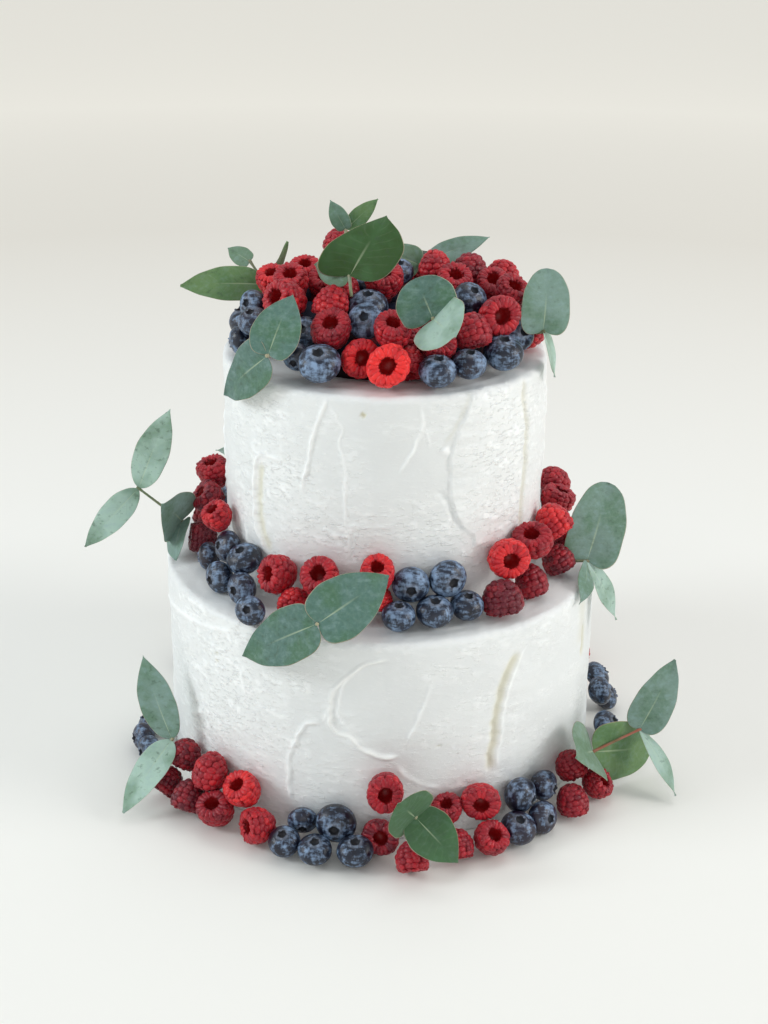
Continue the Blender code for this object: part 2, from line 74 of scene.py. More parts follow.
def throughPoints(points, perSpan):
    # Catmull-Rom curve: each span is the cubic through its two points with the slopes of their neighbours
    p = np.asarray(points, float)
    ends = np.concatenate([[2 * p[0] - p[1]], p, [2 * p[-1] - p[-2]]])
    t = np.linspace(0, 1, perSpan, endpoint=False)[:, None]
    spans = [
        0.5 * (2 * b + (c - a) * t + (2 * a - 5 * b + 4 * c - d) * t ** 2
               + (3 * b - a - 3 * c + d) * t ** 3)
        for a, b, c, d in zip(ends, ends[1:], ends[2:], ends[3:])]
    return np.concatenate(spans + [p[-1:]])


def arcLengths(curve):
    return np.concatenate([[0], np.cumsum(np.linalg.norm(np.diff(curve, axis=0), axis=1))])


def evenly(curve, count):
    # the same curve with its points at equal steps of length
    lengths = arcLengths(curve)
    at = np.linspace(0, lengths[-1], count)
    return np.stack([np.interp(at, lengths, curve[:, k]) for k in range(curve.shape[1])], -1)


def onBearing(bearing, reach, height, shift=0.0):
    angle = np.radians(bearing)
    return np.stack(np.broadcast_arrays(
        shift + reach * np.sin(angle), -reach * np.cos(angle), height), -1)


def facingVector(bearing, lift):
    turn, rise = math.radians(bearing), math.radians(lift)
    return np.array([math.sin(turn) * math.cos(rise), -math.cos(turn) * math.cos(rise),
                     math.sin(rise)])


def cappedFaces(rows, columns):
    # two triangles a cell, the last column joined to the first, and a fan over the first and last row
    r, c = np.meshgrid(np.arange(rows - 1), np.arange(columns), indexing="ij")
    a = r * columns + c
    b = r * columns + (c + 1) % columns
    ring = np.arange(columns)
    after = (ring + 1) % columns
    last = (rows - 1) * columns
    pole = np.full(columns, rows * columns)
    return np.concatenate([
        np.stack([a, b, b + columns], -1).reshape(-1, 3),
        np.stack([a, b + columns, a + columns], -1).reshape(-1, 3),
        np.stack([after, ring, pole], -1),
        np.stack([last + ring, last + after, pole + 1], -1)])


def withPoles(grid):
    # grid points row by row, then the middle of the first row and of the last
    return np.concatenate([grid.reshape(-1, grid.shape[-1]), grid[:1].mean(1), grid[-1:].mean(1)])


def joinMeshes(parts):
    # each part is (points, faces, {attribute: values}); faces count on from the parts before them
    starts = np.cumsum([0] + [len(part[0]) for part in parts[:-1]])
    points = np.concatenate([part[0] for part in parts])
    faces = np.concatenate([part[1] + start for part, start in zip(parts, starts)])
    marks = {key: np.concatenate([part[2][key] for part in parts]) for key in parts[0][2]}
    return points, faces, marks


def makePiece(name, mesh, material, slotName, *nodes):
    points, faces, marks = mesh
    made = bpy.data.meshes.new(name)
    made.from_pydata(points * mm, [], faces)
    made.polygons.foreach_set("use_smooth", np.ones(len(faces), bool))
    for key, values in marks.items():
        layer = made.attributes.new(key, "FLOAT_COLOR", "POINT")
        layer.data.foreach_set("color", np.clip(values, 0, 1).astype(np.float32).ravel())
    made.materials.append(material)
    made.update()
    piece = bpy.data.objects.new(name, made)
    bpy.context.scene.collection.objects.link(piece)
    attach(piece, "root")
    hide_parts(*nodes)
    return piece


class Wire:
    # a node's output that takes part in sums: an expression on wires adds its Math nodes
    def __init__(self, sheet, socket):
        self.sheet = sheet
        self.socket = socket

    def maths(self, operation, first, second=0.0, third=0.0):
        return self.sheet.node("ShaderNodeMath", {"operation": operation},
                               {0: first, 1: second, 2: third})

    def __add__(self, other):
        return self.maths("ADD", self, other)

    def __sub__(self, other):
        return self.maths("SUBTRACT", self, other)

    def __mul__(self, other):
        return self.maths("MULTIPLY", self, other)

    def __rsub__(self, other):
        return self.maths("SUBTRACT", other, self)

    __radd__ = __add__
    __rmul__ = __mul__

    def __abs__(self):
        return self.maths("ABSOLUTE", self)

    def above(self, start, end):
        # 0 up to start, 1 from end on, and a straight rise between
        return self.sheet.node("ShaderNodeMapRange", {"clamp": True},
                               {0: self, 1: start, 2: end, 3: 0.0, 4: 1.0})


class Sheet:
    # one material's nodes round its Principled shader; fixed holds the constant sockets
    def __init__(self, name, fixed):
        self.material = bpy.data.materials.new(name)
        self.material.use_nodes = True
        self.tree = self.material.node_tree
        self.shader = self.tree.nodes["Principled BSDF"]
        for socket, value in fixed.items():
            self.shader.inputs[socket].default_value = value

    def node(self, kind, settings=None, sockets=None, output=0):
        made = self.tree.nodes.new(kind)
        for key, value in (settings or {}).items():
            if key == "stops":
                ramp = made.color_ramp.elements
                for place, colour in value[len(ramp):]:
                    ramp.new(place)
                for stop, (place, colour) in zip(ramp, value):
                    stop.position = place
                    stop.color = colour
            else:
                setattr(made, key, value)
        for key, value in (sockets or {}).items():
            self.feed(made.inputs[key], value)
        return Wire(self, made.outputs[output])

    def feed(self, target, value):
        if isinstance(value, Wire):
            self.tree.links.new(value.socket, target)
        else:
            target.default_value = value

    def finishWith(self, sockets):
        for key, value in sockets.items():
            self.feed(self.shader.inputs[key], value)
        return self.material

    def place(self, scale=(1.0, 1.0, 1.0), tilt=0.0):
        # tilt turns the pattern about Y, which slants it on the front
        spot = self.node("ShaderNodeTexCoord", output="Object")
        return self.node("ShaderNodeMapping", None,
                         {"Vector": spot, "Rotation": (0.0, tilt, 0.0), "Scale": scale})

    def noise(self, vector, scale, detail=2.0, rough=0.5):
        return self.node("ShaderNodeTexNoise", None,
                         {"Vector": vector, "Scale": scale, "Detail": detail, "Roughness": rough})

    def marks(self, key):
        # a colour attribute and its four channels
        read = self.node("ShaderNodeAttribute", {"attribute_name": key})
        parts = self.tree.nodes.new("ShaderNodeSeparateColor")
        self.feed(parts.inputs[0], read)
        alpha = Wire(self, read.socket.node.outputs["Alpha"])
        return read, [Wire(self, socket) for socket in parts.outputs] + [alpha]

    def mix(self, share, first, second):
        # sockets 6 and 7 are the node's two colours, and output 2 is the mixed one
        return self.node("ShaderNodeMix", {"data_type": "RGBA", "clamp_factor": True},
                         {0: share, 6: first, 7: second}, 2)

    def bump(self, height, depth):
        # height is a share of depth, which is in metres
        return self.node("ShaderNodeBump", None,
                         {"Height": height, "Strength": 1.0, "Distance": depth}, "Normal")


def paint(red, green, blue, gain=1.0):
    # screen values, 0 to 255, as a linear colour by the sRGB curve
    shares = [value / 255 for value in (red, green, blue)]
    linear = [s / 12.92 if s < 0.04 else ((s + 0.055) / 1.055) ** 2.4 for s in shares]
    return tuple(min(1.0, gain * value) for value in linear) + (1.0,)


# Berries
# Each berry is (bearing, reach, rise, diameter, facing bearing, facing lift, tone). Reach is from the
# tier's side, or from the axis on the top heap, and rise is from what carries the patch, both to the
# berry's middle. Reach 0 leans on the side, and rise 0 stands on the ledge or at the foot. Tone is 0
# for a bright raspberry to 1 for a dark one, and 0 for a bare blueberry to 1 for one full of bloom.
cake = {
    "lowerRadius": 111.3, "lowerTop": 105.2, "upperRadius": 80.0, "upperBase": 105.5,
    "upperTop": 212.1, "upperShift": 1.0, "rimRadius": 3.0, "strokeDepth": 0.9,
    "leanGap": 0.9, "supportGap": 0.3, "coreGap": 3.0, "floorGap": 0.15,
    # the back's berries: diameters, how far out a row stands as a share of them, and the spaces
    "backRaspberry": 18.0, "backBlueberry": 15.5, "standShare": 0.95, "backSpace": 0.6,
    "heapSpace": 2.5, "heapBlueberryLess": 2.5,
}

ledgePatches = {
    "ledge_fruit_left": {
        "raspberry": [
            (-82, 14, 0, 17, -80, 10, 0.9), (-67, 0, 30, 16, -60, 60, 0.35),
            (-89, 10, 26, 18, -70, 40, 0.8), (-99, 10, 34, 18, -60, 70, 0.6),
            (-101, 14, 0, 18, -110, 20, 0.8)],
        "blueberry": [
            (-60, 0, 18, 14.5, -60, 20, 0.3), (-49, 0, 18, 16.5, -40, 65, 0.5),
            (-70, 13, 0, 13.5, -80, 0, 0.3), (-54, 18, 0, 15, -50, 0, 0.6),
            (-44, 17, 0, 15, -40, 10, 0.6)]},
    "ledge_fruit_front_left": {
        "raspberry": [
            (-33, 0, 18.5, 19, -50, 15, 0.5), (-19, 0, 21.5, 19.5, -10, 45, 0.5),
            (-26, 15, 0, 16, -30, -70, 0.35), (-14, 10, 0, 15, 10, -60, 0.3)],
        "blueberry": [(-34, 30, 0, 13.5, -20, 30, 0.6)]},
    "ledge_raspberries_front": {
        "raspberry": [(-2, 0, 25.5, 17, 0, 60, 0.2), (-1.5, 0, 11.5, 14, 10, -60, 0.2)]},
    "ledge_blueberries_front": {
        "blueberry": [
            (8, 0, 20, 16.5, 0, -5, 0.8), (19, 0, 21, 17, 25, 5, 0.7), (4, 18, 0, 15, 0, 80, 0.7),
            (14, 17, 0, 16.5, 5, 75, 0.6), (24, 15, 0, 15.5, 20, 75, 0.5)]},
    "ledge_raspberries_right": {
        "raspberry": [
            (40, 0, 25, 20, 10, 10, 0.15), (34, 19, 0, 19.5, 40, -75, 0.85),
            (52, 0, 27, 19.5, -20, 60, 0.5), (49, 14, 0, 17, 60, -70, 0.75),
            (68, 10, 28, 19, 70, -50, 0.25), (67, 14, 0, 17, 70, -60, 0.8),
            (83, 12, 0, 18, 80, 30, 0.6), (92, 10, 24, 18.5, 90, 70, 0.45),
            (105, 14, 26, 18, 120, -60, 0.5), (101, 13, 0, 18, 100, 20, 0.7)]},
}

footPatches = {
    "foot_blueberries_left": {
        "blueberry": [
            (-75, 18, 0, 14, -60, 10, 0.5), (-69, 17, 0, 14, -50, 0, 0.6),
            (-81, 13, 0, 15, -80, 50, 0.5)]},
    "foot_raspberries_left": {
        "raspberry": [
            (-54, 0, 21, 17, -60, -60, 0.75), (-54, 20, 0, 16, -50, -40, 0.8),
            (-43, 0, 23, 19, -50, -75, 0.5), (-46, 19, 0, 18, -40, -60, 0.8),
            (-38, 18, 0, 18.5, -30, 60, 0.6), (-33, 0, 21, 18.5, -50, 55, 0.3),
            (-27, 17, 0, 18.5, -60, 10, 0.5)]},
    "foot_blueberries_front_left": {
        "blueberry": [
            (-18, 0, 12, 13.5, 0, -20, 0.6), (-20, 21, 0, 14.5, -20, 70, 0.3),
            (-13, 23, 0, 15, -5, 75, 0.5), (-10, 0, 15, 18, -5, 5, 0.3),
            (-5, 22, 0, 16, 0, 80, 0.4)]},
    "foot_raspberries_front": {
        "raspberry": [
            (1, 0, 34, 19, 0, 15, 0.5), (0, 11, 0, 18, 0, 30, 0.75), (6, 28, 0, 17, 10, -50, 0.6)]},
    "foot_raspberries_front_right": {
        "raspberry": [
            (15, 0, 20, 16, 0, 70, 0.6), (23, 0, 23, 19, 0, 10, 0.5),
            (16, 21, 0, 16, 15, -60, 0.6), (23, 22, 0, 17, 30, 50, 0.5)]},
    "foot_blueberries_front_right": {
        "blueberry": [
            (34, 0, 18, 17, 60, -5, 0.3), (42, 0, 16, 15, 60, 0, 0.3), (30, 20, 0, 16, 20, 70, 0.3),
            (37, 19, 0, 15, 40, 20, 0.4)]},
    "foot_raspberries_right": {
        "raspberry": [
            (52, 0, 18, 17, 60, -60, 0.7), (46, 20, 0, 17.5, 40, -75, 0.65),
            (55, 21, 0, 16, 60, 40, 0.6)]},
    "foot_blueberries_right": {
        "blueberry": [
            (95, 15, 0, 14, 90, 20, 0.5), (96, 10, 20, 14, 90, 40, 0.5), (81, 12, 0, 15, 70, 40, 0.4),
            (88, 0, 20, 15, 90, 10, 0.5), (74, 13, 0, 15, 60, 20, 0.5)]},
}

# Runs of fruit round the back: kind, first bearing, last bearing
ledgeBack = {
    "ledge_blueberries_back_right": ("blueberry", 122, 145),
    "ledge_raspberries_back": ("raspberry", 168, 194),
    "ledge_blueberries_back_left": ("blueberry", 224, 245),
}
footBack = {
    "foot_raspberries_back_right": ("raspberry", 116, 134),
    "foot_blueberries_back": ("blueberry", 152, 168),
    "foot_raspberries_back": ("raspberry", 192, 210),
    "foot_blueberries_back_left": ("blueberry", 236, 250),
}

heapRaspberries = [
    (11, 56, 8.6, 16, 0, -50, 0.5), (-12, 57, 11, 18.5, 15, 15, 0.3),
    (1, 70, 12, 20.5, -5, 20, 0.0), (18, 42, 14, 16, 0, -60, 0.6), (24, 59, 17, 17, 0, 40, 0.55),
    (39, 63, 22, 18, 30, -60, 0.6), (-27, 55, 22, 19.5, -5, 55, 0.55), (3, 54, 23, 18, 10, 60, 0.5),
    (57, 62, 25, 20.5, 15, 15, 0.45), (-38, 41, 30, 18, -60, -60, 0.4),
    (-100, 56, 30, 17, -20, 65, 0.3), (-60, 54, 30, 20, -50, 25, 0.45),
    (88, 52, 31, 18, 0, 55, 0.6), (73, 62, 32, 17, 30, 55, 0.55), (-87, 29, 32, 17, -10, 55, 0.5),
    (108, 61, 32, 17, 30, -80, 0.35), (-79, 46, 34, 18.5, -10, 60, 0.35),
    (77, 34, 34, 18.5, 0, 60, 0.5), (-52, 26, 34, 17, 0, -60, 0.6), (-105, 41, 35, 16, 0, 60, 0.4),
    (107, 43, 35, 19.5, 20, -75, 0.65), (-4, 12, 36, 19, 0, 55, 0.55),
    (106, 25, 38, 18, 0, -80, 0.4), (-140, 37, 45, 17, 0, -75, 0.5)]
heapBlueberries = [
    (-75, 72, 8, 13.5, -80, -10, 0.4), (19, 72, 9, 16, 5, 75, 0.7), (32, 71, 10, 15, 10, 75, 0.6),
    (50, 71, 11, 18, 5, 75, 0.6), (-25, 71, 11, 18.5, -5, 60, 0.8), (-37, 67, 11, 13, -20, -20, 0.6),
    (67, 68, 14, 15, 30, 30, 0.5), (-44, 53, 18, 14, -20, 30, 0.5), (-69, 67, 19, 14.5, -30, 65, 0.5),
    (58, 34, 23, 14, 0, 0, 0.7), (-83, 64, 23, 13.5, -40, 20, 0.7), (-12, 44, 25, 16, -10, 35, 0.9),
    (-18, 27, 27, 18, -5, 70, 0.7), (59, 46, 31, 15, 30, 50, 0.6), (-95, 11, 33, 14, 0, 60, 0.6),
    (134, 9, 36, 14, 10, 65, 0.7)]
# Rows of the heap's far side: reach, rise, first bearing, last bearing, diameter, kinds in turn
heapBackRows = [
    (70, 10, 86, 270, 19, "raspberry raspberry blueberry blueberry"),
    (57, 22, 128, 246, 18, "blueberry raspberry raspberry"),
    (40, 28, 140, 232, 19, "raspberry blueberry"),
    (23, 36, 200, 236, 17, "raspberry")]


def ringBerry(kind, spec, radius, floor, shift):
    bearing, reach, rise, diameter, faceBearing, faceLift, tone = spec
    reach = reach or diameter / 2 + cake["leanGap"]
    rise = rise or diameter / 2 + cake["supportGap"]
    centre = onBearing(bearing, radius + reach, floor + rise, shift)
    return kind, centre, diameter / 2, facingVector(faceBearing, faceLift), tone


def backRun(kind, first, last, radius):
    # a row that stands on the ledge or floor, and between its berries a row that leans on the side
    diameter = cake["backRaspberry"] if kind == "raspberry" else cake["backBlueberry"]
    stand = cake["standShare"] * diameter
    lean = diameter / 2 + cake["leanGap"]
    step = math.degrees((diameter + cake["backSpace"]) / (radius + stand))
    half = math.radians(step / 2) * radius
    nested = math.sqrt(max(0.0, diameter ** 2 - half ** 2 - (stand - lean) ** 2))
    count = int((last - first) / step) + 1
    specs = []
    for i in range(count):
        bearing = first + i * step
        face = bearing + rng.uniform(-50, 50)
        specs.append((bearing, stand, 0, diameter, face, rng.uniform(0, 60), rng.uniform(0.2, 0.8)))
        if i < count - 1:
            specs.append((bearing + step / 2, 0, diameter / 2 + nested, diameter, face,
                          rng.uniform(-10, 60), rng.uniform(0.2, 0.8)))
    return specs


def heapBerries():
    # the front's berries as listed, then rows of kinds in turn, heapSpace apart, on the far side
    plans = [("raspberry", spec) for spec in heapRaspberries]
    plans += [("blueberry", spec) for spec in heapBlueberries]
    for reach, rise, first, last, diameter, kinds in heapBackRows:
        turns = kinds.split()
        step = math.degrees((diameter + cake["heapSpace"]) / reach)
        for i in range(int((last - first) / step) + 1):
            kind = turns[i % len(turns)]
            size = diameter if kind == "raspberry" else diameter - cake["heapBlueberryLess"]
            bearing = first + i * step
            plans.append((kind, (bearing, reach, rise, size, bearing + rng.uniform(-40, 40),
                                 rng.uniform(10, 70), rng.uniform(0.2, 0.8))))
    return [
        (kind, onBearing(bearing, reach, cake["upperTop"] + rise, cake["upperShift"]),
         diameter / 2, facingVector(faceBearing, faceLift), tone)
        for kind, (bearing, reach, rise, diameter, faceBearing, faceLift, tone) in plans]


def planBerries():
    # every patch's berries by the name of its node
    plan = {"top_fruit_heap": heapBerries()}
    rings = (
        (ledgePatches, ledgeBack, cake["upperRadius"], cake["lowerTop"], cake["upperShift"]),
        (footPatches, footBack, cake["lowerRadius"], 0.0, 0.0),
    )
    for patches, backs, radius, floor, shift in rings:
        specs = dict(patches)
        for name, (kind, first, last) in backs.items():
            specs[name] = {kind: backRun(kind, first, last, radius)}
        for name, kinds in specs.items():
            plan[name] = [ringBerry(kind, spec, radius, floor, shift)
                          for kind, group in kinds.items() for spec in group]
    return plan


curvePoints = 12  # points to each span of a berry's meridian

raspberry = {
    "columns": 28, "rows": 24, "variants": 6, "stretch": (1.0, 1.0),
    # radius and height of the body under the beads, from the closed tip over the rim into the hollow
    "meridian": [(0.0, -0.85), (0.30, -0.80), (0.55, -0.62), (0.74, -0.34), (0.84, 0.0),
                 (0.85, 0.32), (0.78, 0.57), (0.65, 0.69), (0.52, 0.65), (0.44, 0.47),
                 (0.41, 0.18), (0.35, -0.06), (0.19, -0.20), (0.02, -0.23)],
    # the hollow's darkening, past the rim along the meridian, and the ribs in it
    "hollowStart": 0.12, "hollowFade": 0.15, "ribs": 14, "ribDepth": 0.05,
    # rows of beads go back from the rim, rowStep apart, until lastRow
    "rimPoint": 7, "firstRow": 0.03, "lastRow": -0.05, "rowStep": 0.285, "rimRowStep": 1.15,
    # the rim's beads get only part of the painted shade where drupelets meet
    "rimBeads": 21, "rimSize": (0.27, 0.10), "rimOverlap": 1.62, "rimCreaseShade": 0.55,
    "beadWidth": 0.37, "beadHeight": 0.21, "beadOut": 0.16, "sink": 0.035, "overlap": 1.38,
    "tipBead": 0.18, "unevenTurn": 0.20, "unevenAlong": 0.045,
    # latitudes of a bead's rings, closest where it shows, and the height below which it is painted darker as
    # shade where it meets the others
    "beadRings": (-20, 18, 44, 68), "beadSides": 9, "creaseShadeTop": 0.70, "creaseShadeFade": 0.60,
    "lean": 0.07, "oval": 0.05,
}


def beadShape():
    # a ball of radius 1 whose +z pole faces out of the berry
    lift = np.radians(raspberry["beadRings"])[:, None]
    turn = np.linspace(0, 2 * np.pi, raspberry["beadSides"], endpoint=False)
    ring = np.stack([np.cos(lift) * np.cos(turn), np.cos(lift) * np.sin(turn),
                     np.sin(lift) * np.ones_like(turn)], -1)
    points = withPoles(ring)
    points[-2:] = [[0, 0, -1], [0, 0, 1]]
    return points, cappedFaces(*ring.shape[:2])


def raspberryShape(seed):
    # the meridian turned round the axis, with rows of stretched balls on it: each ball's axes lie
    # round the berry, along the meridian and outwards, and alternate rows are half a step apart
    draw = np.random.default_rng(seed)
    columns, rows = raspberry["columns"], raspberry["rows"]
    fine = throughPoints(raspberry["meridian"], curvePoints)
    lengths = arcLengths(fine)
    rim = lengths[raspberry["rimPoint"] * curvePoints]
    slopes = unit(np.gradient(fine, axis=0))
    s = np.linspace(0, lengths[-1], rows + 1)[1:]
    curve = evenly(fine, rows + 1)[1:]
    angle = np.linspace(0, 2 * np.pi, columns, endpoint=False)
    inside = smooth((s - rim - raspberry["hollowStart"]) / raspberry["hollowFade"])
    inside = inside[:, None] * np.ones(columns)
    reach = curve[:, :1] * (1 + raspberry["ribDepth"] * np.cos(raspberry["ribs"] * angle) * inside)
    body = np.stack([reach * np.cos(angle), reach * np.sin(angle), curve[:, 1:] * np.ones(columns)], -1)
    # the body shows only in the gaps between the beads, and outside the hollow its second mark gives it the
    # painted shade of those gaps
    bodyMarks = np.stack([np.zeros_like(inside), 1 - inside, inside, 0.5 * np.ones_like(inside)], -1)
    ball, ballFaces = beadShape()
    parts = [(withPoles(body), cappedFaces(rows, columns), {"skin": withPoles(bodyMarks)})]
    at = rim + raspberry["firstRow"]
    turn = draw.uniform(0, 1)
    while at > raspberry["lastRow"]:
        isRim = at > rim
        middle = max(at, 0.0)
        reach = np.interp(middle, lengths, fine[:, 0])
        count = raspberry["rimBeads"] if isRim else max(1, round(2 * np.pi * reach / raspberry["beadWidth"]))
        turn += np.pi / count
        shifts = draw.uniform(-raspberry["unevenTurn"], raspberry["unevenTurn"], count)
        spots = turn + 2 * np.pi * (np.arange(count) + shifts) / count
        shifts = draw.uniform(-raspberry["unevenAlong"], raspberry["unevenAlong"], count)
        along = np.clip(middle + shifts, 0, lengths[-1])
        radial, height = (np.interp(along, lengths, fine[:, k])[:, None] for k in (0, 1))
        slopeOut, slopeUp = (np.interp(along, lengths, slopes[:, k])[:, None] for k in (0, 1))
        zero = np.zeros((count, 1))
        out = np.stack([np.cos(spots), np.sin(spots), np.zeros(count)], -1)
        over = np.concatenate([zero, zero, zero + 1], -1)
        roundAxis = np.stack([-np.sin(spots), np.cos(spots), np.zeros(count)], -1)
        alongAxis = slopeOut * out + slopeUp * over
        outAxis = slopeUp * out - slopeOut * over
        wide = raspberry["tipBead"]
        if count > 3:
            wide = np.pi * reach / count * raspberry["rimOverlap" if isRim else "overlap"]
        high, proud = raspberry["rimSize"] if isRim else (raspberry["beadHeight"], raspberry["beadOut"])
        sizes = np.stack([
            wide * draw.uniform(0.90, 1.12, count), high * draw.uniform(0.88, 1.12, count),
            proud * draw.uniform(0.86, 1.14, count)], -1)
        axes = np.stack([roundAxis, alongAxis, outAxis], 1)
        place = radial * out + height * over - outAxis * raspberry["sink"]
        points = place[:, None] + np.einsum("kj,bj,bjm->bkm", ball, sizes, axes)
        starts = len(ball) * np.arange(count)[:, None, None]
        # painted shade: each bead turns darker below a set height, where it meets its neighbours, and less
        # so on the rim
        crease = np.clip((raspberry["creaseShadeTop"] - ball[:, 2]) / raspberry["creaseShadeFade"], 0, 1)
        crease = crease * np.ones((count, 1))
        crease *= raspberry["rimCreaseShade"] if isRim else 1.0
        pick = draw.uniform(0, 1, (count, 1)) * np.ones(len(ball))
        marks = np.stack([0 * pick, crease, 0 * pick, pick], -1)
        parts.append((points.reshape(-1, 3), (ballFaces + starts).reshape(-1, 3),
                      {"skin": marks.reshape(-1, 4)}))
        at -= raspberry["rowStep"] * (raspberry["rimRowStep"] if isRim else 1.0)
    points, faces, marks = joinMeshes(parts)
    # a slight lean and an oval outline, so that no berry is quite round
    lean = draw.uniform(-raspberry["lean"], raspberry["lean"], 2)
    flat = draw.uniform(0, 2 * np.pi)
    ovalness = 1 + raspberry["oval"] * np.cos(2 * (np.arctan2(points[:, 1], points[:, 0]) - flat))
    points[:, :2] = points[:, :2] * ovalness[:, None] + lean * (points[:, 2:] ** 2)
    return points, faces, marks["skin"]


blueberry = {
    "columns": 45, "rows": 30, "variants": 4, "stretch": (1.06, 0.96),
    # radius and height of the skin from below, over the crown's lip and down into its cup
    "meridian": [(0.0, -0.89), (0.36, -0.82), (0.69, -0.60), (0.93, -0.27), (1.0, 0.06),
                 (0.94, 0.38), (0.74, 0.64), (0.52, 0.77), (0.35, 0.82), (0.31, 0.90),
                 (0.25, 0.87), (0.19, 0.72), (0.10, 0.67), (0.02, 0.68)],
    # rows are closer together at the crown: share of the rows, share of the meridian
    "pace": ([0, 0.52, 1], [0, 0.70, 1]),
    "lipPoint": 9, "lipWidth": 0.07, "lobes": 5, "lobeSize": 0.055, "tearOut": 0.022, "tearUp": 0.035,
    "crownFade": (-0.01, 0.06), "nearCrownFade": (0.24, 0.18), "sink": 0.02,
}


def blueberryShape(seed):
    # the meridian turned round the axis; at the crown's lip, within lipWidth, it rises and spreads
    # by lobeSize * cos(lobes * angle) and by noise round the axis
    draw = np.random.default_rng(seed)
    columns, rows = blueberry["columns"], blueberry["rows"]
    fine = throughPoints(blueberry["meridian"], curvePoints)
    lengths = arcLengths(fine)
    lip = lengths[blueberry["lipPoint"] * curvePoints]
    s = lengths[-1] * np.interp(np.linspace(0, 1, rows + 1)[1:], *blueberry["pace"])
    reach = np.interp(s, lengths, fine[:, 0])
    height = np.interp(s, lengths, fine[:, 1])
    angle = np.linspace(0, 2 * np.pi, columns, endpoint=False)
    lobe = np.cos(blueberry["lobes"] * angle + 0.35 * np.sin(2 * angle + draw.uniform(0, 6)))
    atLip = np.exp(-((s - lip) / blueberry["lipWidth"]) ** 2)[:, None]
    wide = 1 + 0.03 * np.sin(angle + draw.uniform(0, 6)) + 0.02 * np.sin(2 * angle + draw.uniform(0, 6))
    tear = softNoise(angle * 3.0, 7.3, seed) + 0.6 * softNoise(angle * 7.0, 2.1, seed)
    lobe = blueberry["lobeSize"] * lobe
    out = reach[:, None] * wide + atLip * (lobe + blueberry["tearOut"] * tear)
    up = height[:, None] + atLip * (lobe + blueberry["tearUp"] * tear) - blueberry["sink"]
    points = np.stack([out * np.cos(angle), out * np.sin(angle), up * np.ones(columns)], -1)
    crown, nearCrown = (smooth((s - lip + start) / fade)[:, None] * np.ones(columns)
                        for start, fade in (blueberry["crownFade"], blueberry["nearCrownFade"]))
    # the third mark lies near the crown, where the material paints a highlight on the lip
    marks = np.stack([np.zeros_like(crown), crown, nearCrown, np.zeros_like(crown)], -1)
    return withPoles(points), cappedFaces(rows, columns), withPoles(marks)


def turnTo(facing, spin):
    # columns are the axes of a frame whose z points along facing, turned by spin about it
    side = unit(np.cross(facing, [0.31, 0.25, 0.92] if abs(facing[2]) < 0.9 else [1.0, 0.0, 0.1]))
    rise = np.cross(facing, side)
    c, s = math.cos(spin), math.sin(spin)
    return np.stack([c * side + s * rise, c * rise - s * side, facing], -1)


def placeBerries(berries, shapes):
    # each berry is one of the shapes, a little stretched, turned about its facing and lifted off
    # the floor; the tone goes into the first mark, and a blueberry's pick into the fourth
    parts = []
    for kind, centre, radius, facing, tone in berries:
        points, faces, marks = shapes[rng.integers(len(shapes))]
        wide, tall = (raspberry if kind == "raspberry" else blueberry)["stretch"]
        stretch = radius * np.array([wide * rng.uniform(0.97, 1.03), wide * rng.uniform(0.97, 1.03),
                                     tall * rng.uniform(0.94, 1.05)])
        placed = (points * stretch) @ turnTo(unit(facing), rng.uniform(0, 2 * np.pi)).T + centre
        placed[:, 2] += max(0.0, cake["floorGap"] - placed[:, 2].min())
        marks = marks.copy()
        marks[:, 0] = np.clip(tone + rng.uniform(-0.06, 0.06), 0, 1)
        if kind == "blueberry":
            marks[:, 3] = rng.uniform(0, 1)
        parts.append((placed, faces, {"skin": marks}))
    return joinMeshes(parts)


# Noise scales are in waves to the metre, and bumps in metres
raspberryLook = {
    "bright": paint(232, 40, 38, 1.1), "ripe": paint(170, 16, 34), "dark": paint(94, 10, 30),
    # the first colour below is painted shade in the creases between the drupelets
    "crease": paint(104, 4, 14), "hollow": paint(160, 8, 12), "fuzz": paint(226, 140, 142),
    "ripeness": 0.09, "creaseShadeShare": 0.48, "hollowShare": 0.85, "fuzzShare": 0.12,
    "grain": 900, "patch": 150, "rough": 0.32, "bump": 0.00012,
}


def raspberryMaterial():
    sheet = Sheet("raspberrySkin", {
        "Subsurface Weight": 0.25, "Subsurface Radius": (1.0, 0.22, 0.18), "Subsurface Scale": 0.0016,
        "Sheen Weight": 0.12, "Sheen Roughness": 0.4, "Sheen Tint": (1.0, 0.66, 0.68, 1.0),
        "Specular IOR Level": 0.38})
    tone, crease, inside, bead = sheet.marks("skin")[1]
    spot = sheet.place()
    grain = sheet.noise(spot, raspberryLook["grain"], 3.0)
    patch = sheet.noise(spot, raspberryLook["patch"], 2.0)
    ripeness = tone + raspberryLook["ripeness"] + (bead - 0.5) * 0.3 + (patch - 0.5) * 0.5
    colour = sheet.node("ShaderNodeValToRGB", {"stops": [
        (0.0, raspberryLook["bright"]), (0.5, raspberryLook["ripe"]), (1.0, raspberryLook["dark"])]},
        {0: ripeness})
    # painted shade in the creases between drupelets, kept out of the hollow
    creaseShadeMask = crease * (1 - inside) * raspberryLook["creaseShadeShare"]
    colour = sheet.mix(creaseShadeMask, colour, raspberryLook["crease"])
    colour = sheet.mix(inside * raspberryLook["hollowShare"], colour, raspberryLook["hollow"])
    fuzz = grain.above(0.50, 0.72) * (1 - crease) * raspberryLook["fuzzShare"]
    colour = sheet.mix(fuzz, colour, raspberryLook["fuzz"])
    rough = raspberryLook["rough"] + grain * 0.2 + crease * 0.2
    return sheet.finishWith({"Base Color": colour, "Roughness": rough,
                             "Normal": sheet.bump(grain, raspberryLook["bump"])})


